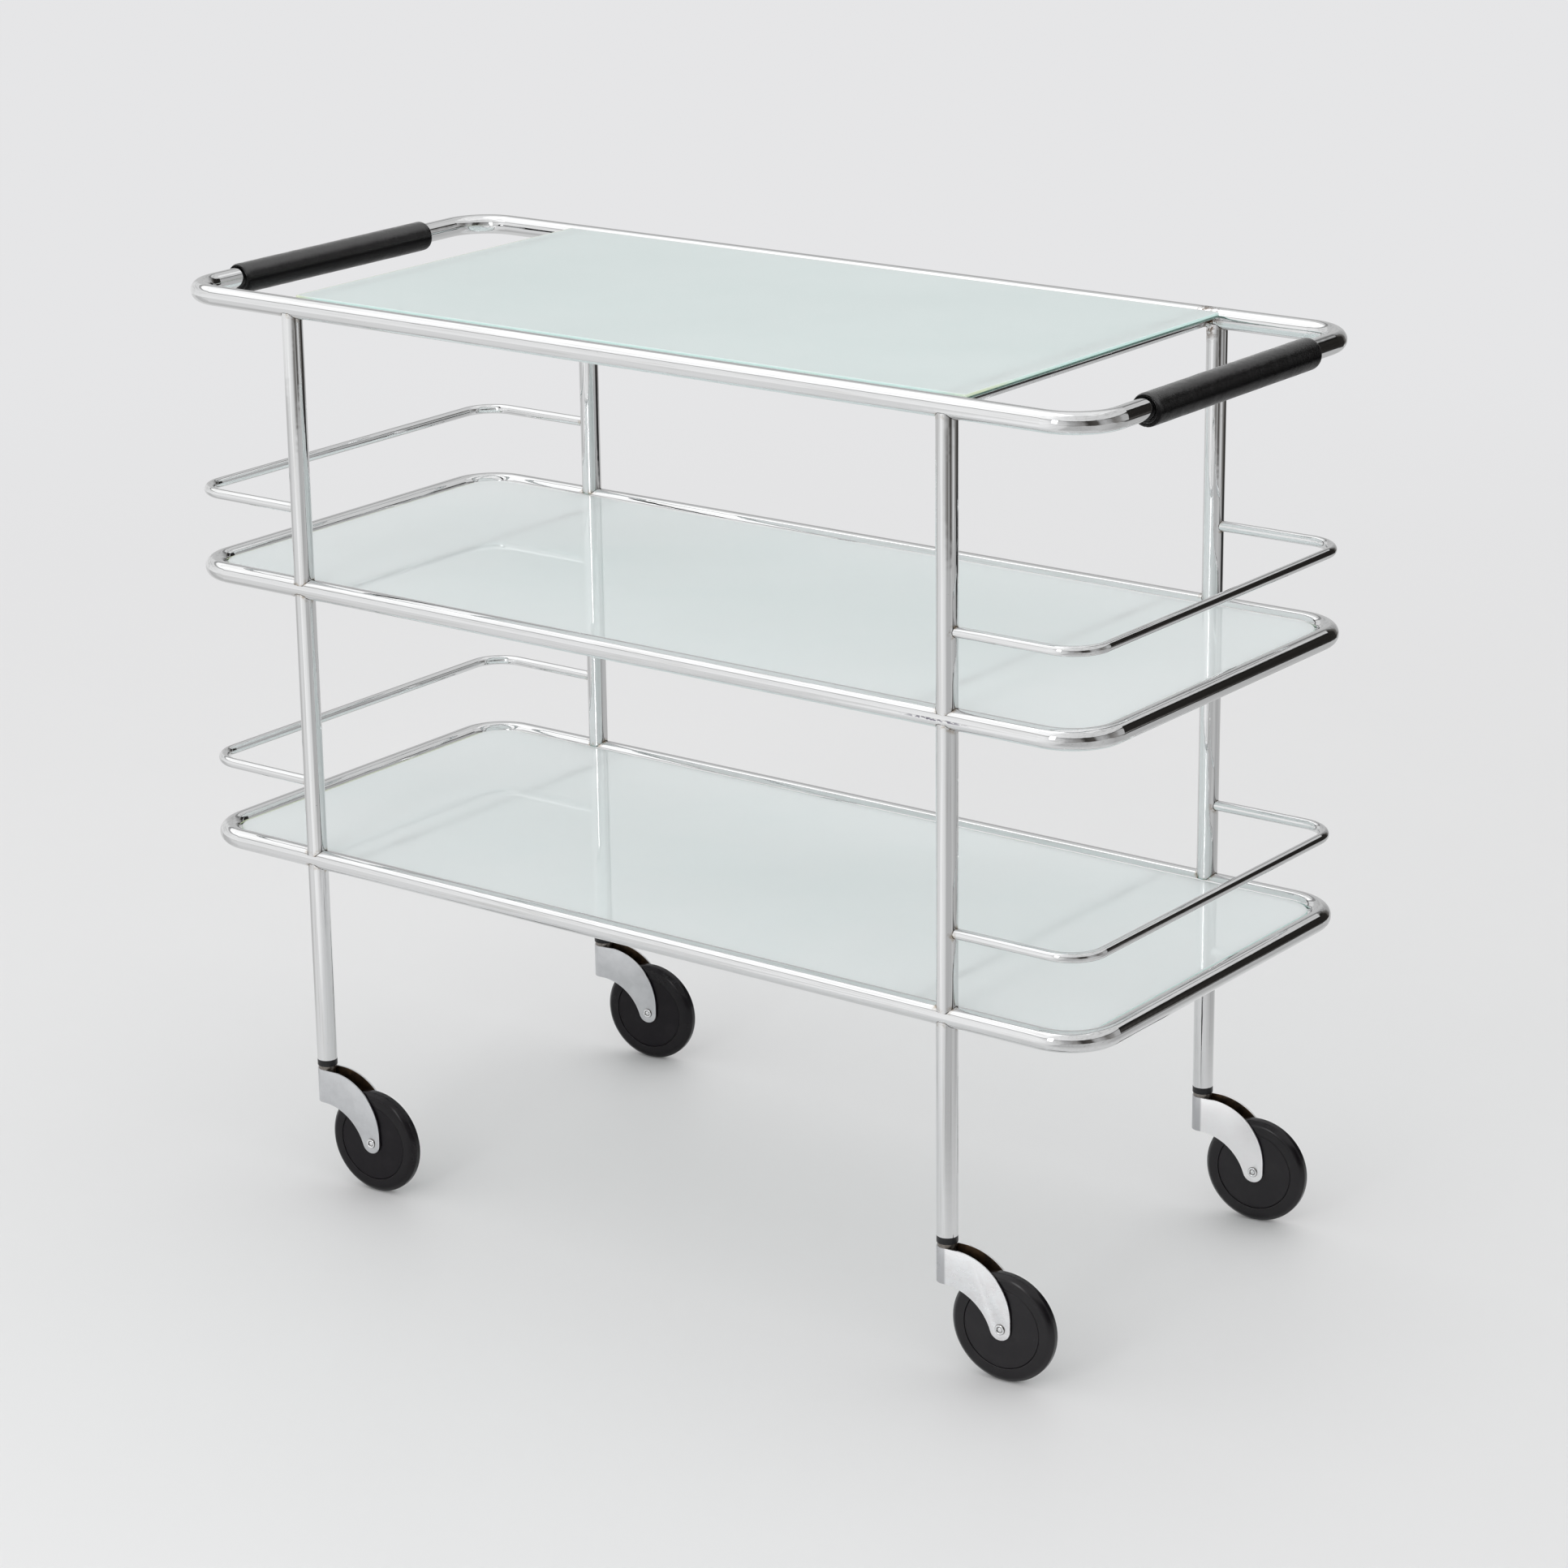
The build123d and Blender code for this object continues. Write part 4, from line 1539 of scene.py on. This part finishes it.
def glow(tree, colour):
    node = tree.nodes.new("ShaderNodeEmission")
    feed(tree, colour, node.inputs["Color"])
    return node.outputs[0]


def blend_shaders(tree, share, first, second):
    node = tree.nodes.new("ShaderNodeMixShader")
    feed(tree, share, node.inputs["Fac"])
    tree.links.new(first, node.inputs[1])
    tree.links.new(second, node.inputs[2])
    return node.outputs[0]


def floor_finish(name):
    material, tree, shader = start_finish(name)
    where = place(tree)
    distance = reckon_vector(tree, "LENGTH", where)
    worn = grain(tree, where, FLOOR_WEAR_SCALE, detail=6)
    feed(tree, blend_colours(tree, worn, FLOOR, FLOOR_WORN), shader.inputs["Base Color"])
    shader.inputs["Roughness"].default_value = 0.5
    seen = blend_shaders(
        tree, fade(tree, distance, *TO_BACKGROUND), shader.outputs[0], glow(tree, BACKGROUND)
    )
    reflected = glow(tree, studio_rings(tree, where, distance))
    light_path = tree.nodes.new("ShaderNodeLightPath")
    in_mirrors = reckon(
        tree, "MULTIPLY", light_path.outputs["Is Glossy Ray"], fade(tree, distance, *TO_STUDIO)
    )
    both = blend_shaders(tree, in_mirrors, seen, reflected)
    tree.links.new(both, tree.nodes["Material Output"].inputs["Surface"])
    return material


bpy.ops.object.select_all(action="DESELECT")
bpy.ops.mesh.primitive_plane_add(size=FLOOR_SIZE, location=(0, 0, 0))
floor = active_mesh()
floor.name = "floor"
floor.data.materials.append(floor_finish("floor_paint"))
list_finishes(floor.active_material)

# %% [markdown]
# ## Studio round the cart
#
# Above the floor chrome and glass mirror the same walls, dark to the right and
# behind, a bright ceiling over them, and a shaded cornice between the two. The
# dark wall between the pale floor and the ceiling draws the black bands along the
# end tubes, and the cornice and the fittings draw thin grey lines along the
# others. A photographed panorama would do this too, but can't be adjusted line by
# line.

# %% Walls and ceiling
STUDIO_CEILING = (
    (0, 0.80), (50, 0.78), (120, 0.75), (142, 0.75), (158, 1.35), (235, 1.35), (270, 1.0),
    (320, 0.85),
)
WALL_LEAN = 0.25
# Heights are those of a direction: 0 at the horizon and 1 straight up
TO_CEILING = (0.50, 0.53)
CORNICE_FOOT = (0.43, 0.46)
CORNICE_HEAD = (0.54, 0.51)
CORNICE_SHADE = 0.48
FITTINGS = (5, 0.45, 0.75)
FITTINGS_STRETCH = (0.6, 0.6, 6)
FITTINGS_SHADE = 0.30


def studio_sky(tree, direction):
    height = split(tree, direction)[2]
    lean = tree.nodes.new("ShaderNodeCombineXYZ")
    feed(tree, reckon(tree, "MULTIPLY", height, WALL_LEAN), lean.inputs["X"])
    leaning = reckon_vector(tree, "ADD", direction, lean.outputs[0])
    walls = by_compass(tree, leaning, STUDIO_WALLS)
    ceiling = by_compass(tree, direction, STUDIO_CEILING)
    sky = blend_colours(tree, fade(tree, height, *TO_CEILING), walls, ceiling)
    cornice = reckon(
        tree, "MULTIPLY", fade(tree, height, *CORNICE_FOOT), fade(tree, height, *CORNICE_HEAD)
    )
    sky = blend_colours(tree, reckon(tree, "MULTIPLY", cornice, CORNICE_SHADE), sky, SHADE)
    fittings = patches(tree, stretch(tree, direction, FITTINGS_STRETCH), FITTINGS)
    return blend_colours(tree, reckon(tree, "MULTIPLY", fittings, FITTINGS_SHADE), sky, SHADE)


print(len(STUDIO_WALLS), "stops round the walls,", len(STUDIO_CEILING), "round the ceiling")

# %% [markdown]
# ## World
#
# The world gives three answers. Mirrors get the studio. The camera gets plain pale
# grey, so that nothing stands behind the cart. All other light comes from an even,
# slightly brighter air. One sky for all three would be simpler, but then the dark
# walls would also darken the floor and the glass.

# %% Build the world
AIR = (0.945, 0.945, 0.95, 1)

world = bpy.data.worlds.new("studio")
world.use_nodes = True
bpy.context.scene.world = world
tree = world.node_tree
sky = studio_sky(tree, tree.nodes.new("ShaderNodeTexCoord").outputs["Generated"])
light_path = tree.nodes.new("ShaderNodeLightPath")
shown = blend_colours(tree, light_path.outputs["Is Glossy Ray"], AIR, sky)
shown = blend_colours(tree, light_path.outputs["Is Camera Ray"], shown, BACKGROUND)
feed(tree, shown, tree.nodes["Background"].inputs["Color"])
tree.nodes["Background"].inputs["Strength"].default_value = 1.0
list_finishes(world)

# %% [markdown]
# ## Lamps
#
# The world alone would light the cart evenly, and nothing would stand out. One
# wide soft lamp hangs over the cart. A second, a tall strip, stands in front, to
# the left of the camera: it draws the highlights round the black wheels, and its
# shadows fall softly behind the cart.

# %% Hang the lamps
LAMP_TARGET = Vector((0, 0, 0.4))


def soft_lamp(name, width, depth, power, where):
    data = bpy.data.lights.new(name, "AREA")
    data.shape = "RECTANGLE"
    data.size = width
    data.size_y = depth
    data.energy = power
    lamp = bpy.data.objects.new(name, data)
    bpy.context.scene.collection.objects.link(lamp)
    lamp.location = where
    lamp.rotation_euler = (LAMP_TARGET - Vector(where)).to_track_quat("-Z", "Y").to_euler()
    print(name, power, "W")


soft_lamp("overhead_lamp", 2.6, 2.2, 5, (-0.3, 0.4, 2.9))
soft_lamp("front_lamp", 0.6, 1.6, 13, (0.26, -3.26, 1.7))

# %% [markdown]
# ## Camera
#
# The camera stands to the right of the front, a little above the cart, with a
# long lens. Its place and turn come from matching the outlines of the tubes. A
# tracking constraint would only aim it, and here its roll matters too, so its
# three axes are written out.

# %% Set up the camera
CAMERA_PLACE = Vector((2.29628, -3.00661, 1.62910))
CAMERA_YAW = radians(36.976)
CAMERA_PITCH = radians(17.894)
CAMERA_ROLL = radians(-0.730)
CAMERA_LENS = 98.71
SENSOR = 36.0

back = Vector((
    sin(CAMERA_YAW) * cos(CAMERA_PITCH),
    -cos(CAMERA_YAW) * cos(CAMERA_PITCH),
    sin(CAMERA_PITCH),
))
right = Vector((cos(CAMERA_YAW), sin(CAMERA_YAW), 0))
up = back.cross(right)
camera_x = cos(CAMERA_ROLL) * right + sin(CAMERA_ROLL) * up
camera_y = -sin(CAMERA_ROLL) * right + cos(CAMERA_ROLL) * up
data = bpy.data.cameras.new("camera")
data.lens = CAMERA_LENS
data.sensor_width = SENSOR
data.sensor_fit = "HORIZONTAL"
camera = bpy.data.objects.new("camera", data)
bpy.context.scene.collection.objects.link(camera)
turn = Matrix((camera_x, camera_y, back)).transposed().to_4x4()
camera.matrix_world = Matrix.Translation(CAMERA_PLACE) @ turn
bpy.context.scene.camera = camera
bpy.context.scene.view_settings.view_transform = "Standard"
print("camera at", tuple(round(v, 3) for v in CAMERA_PLACE))
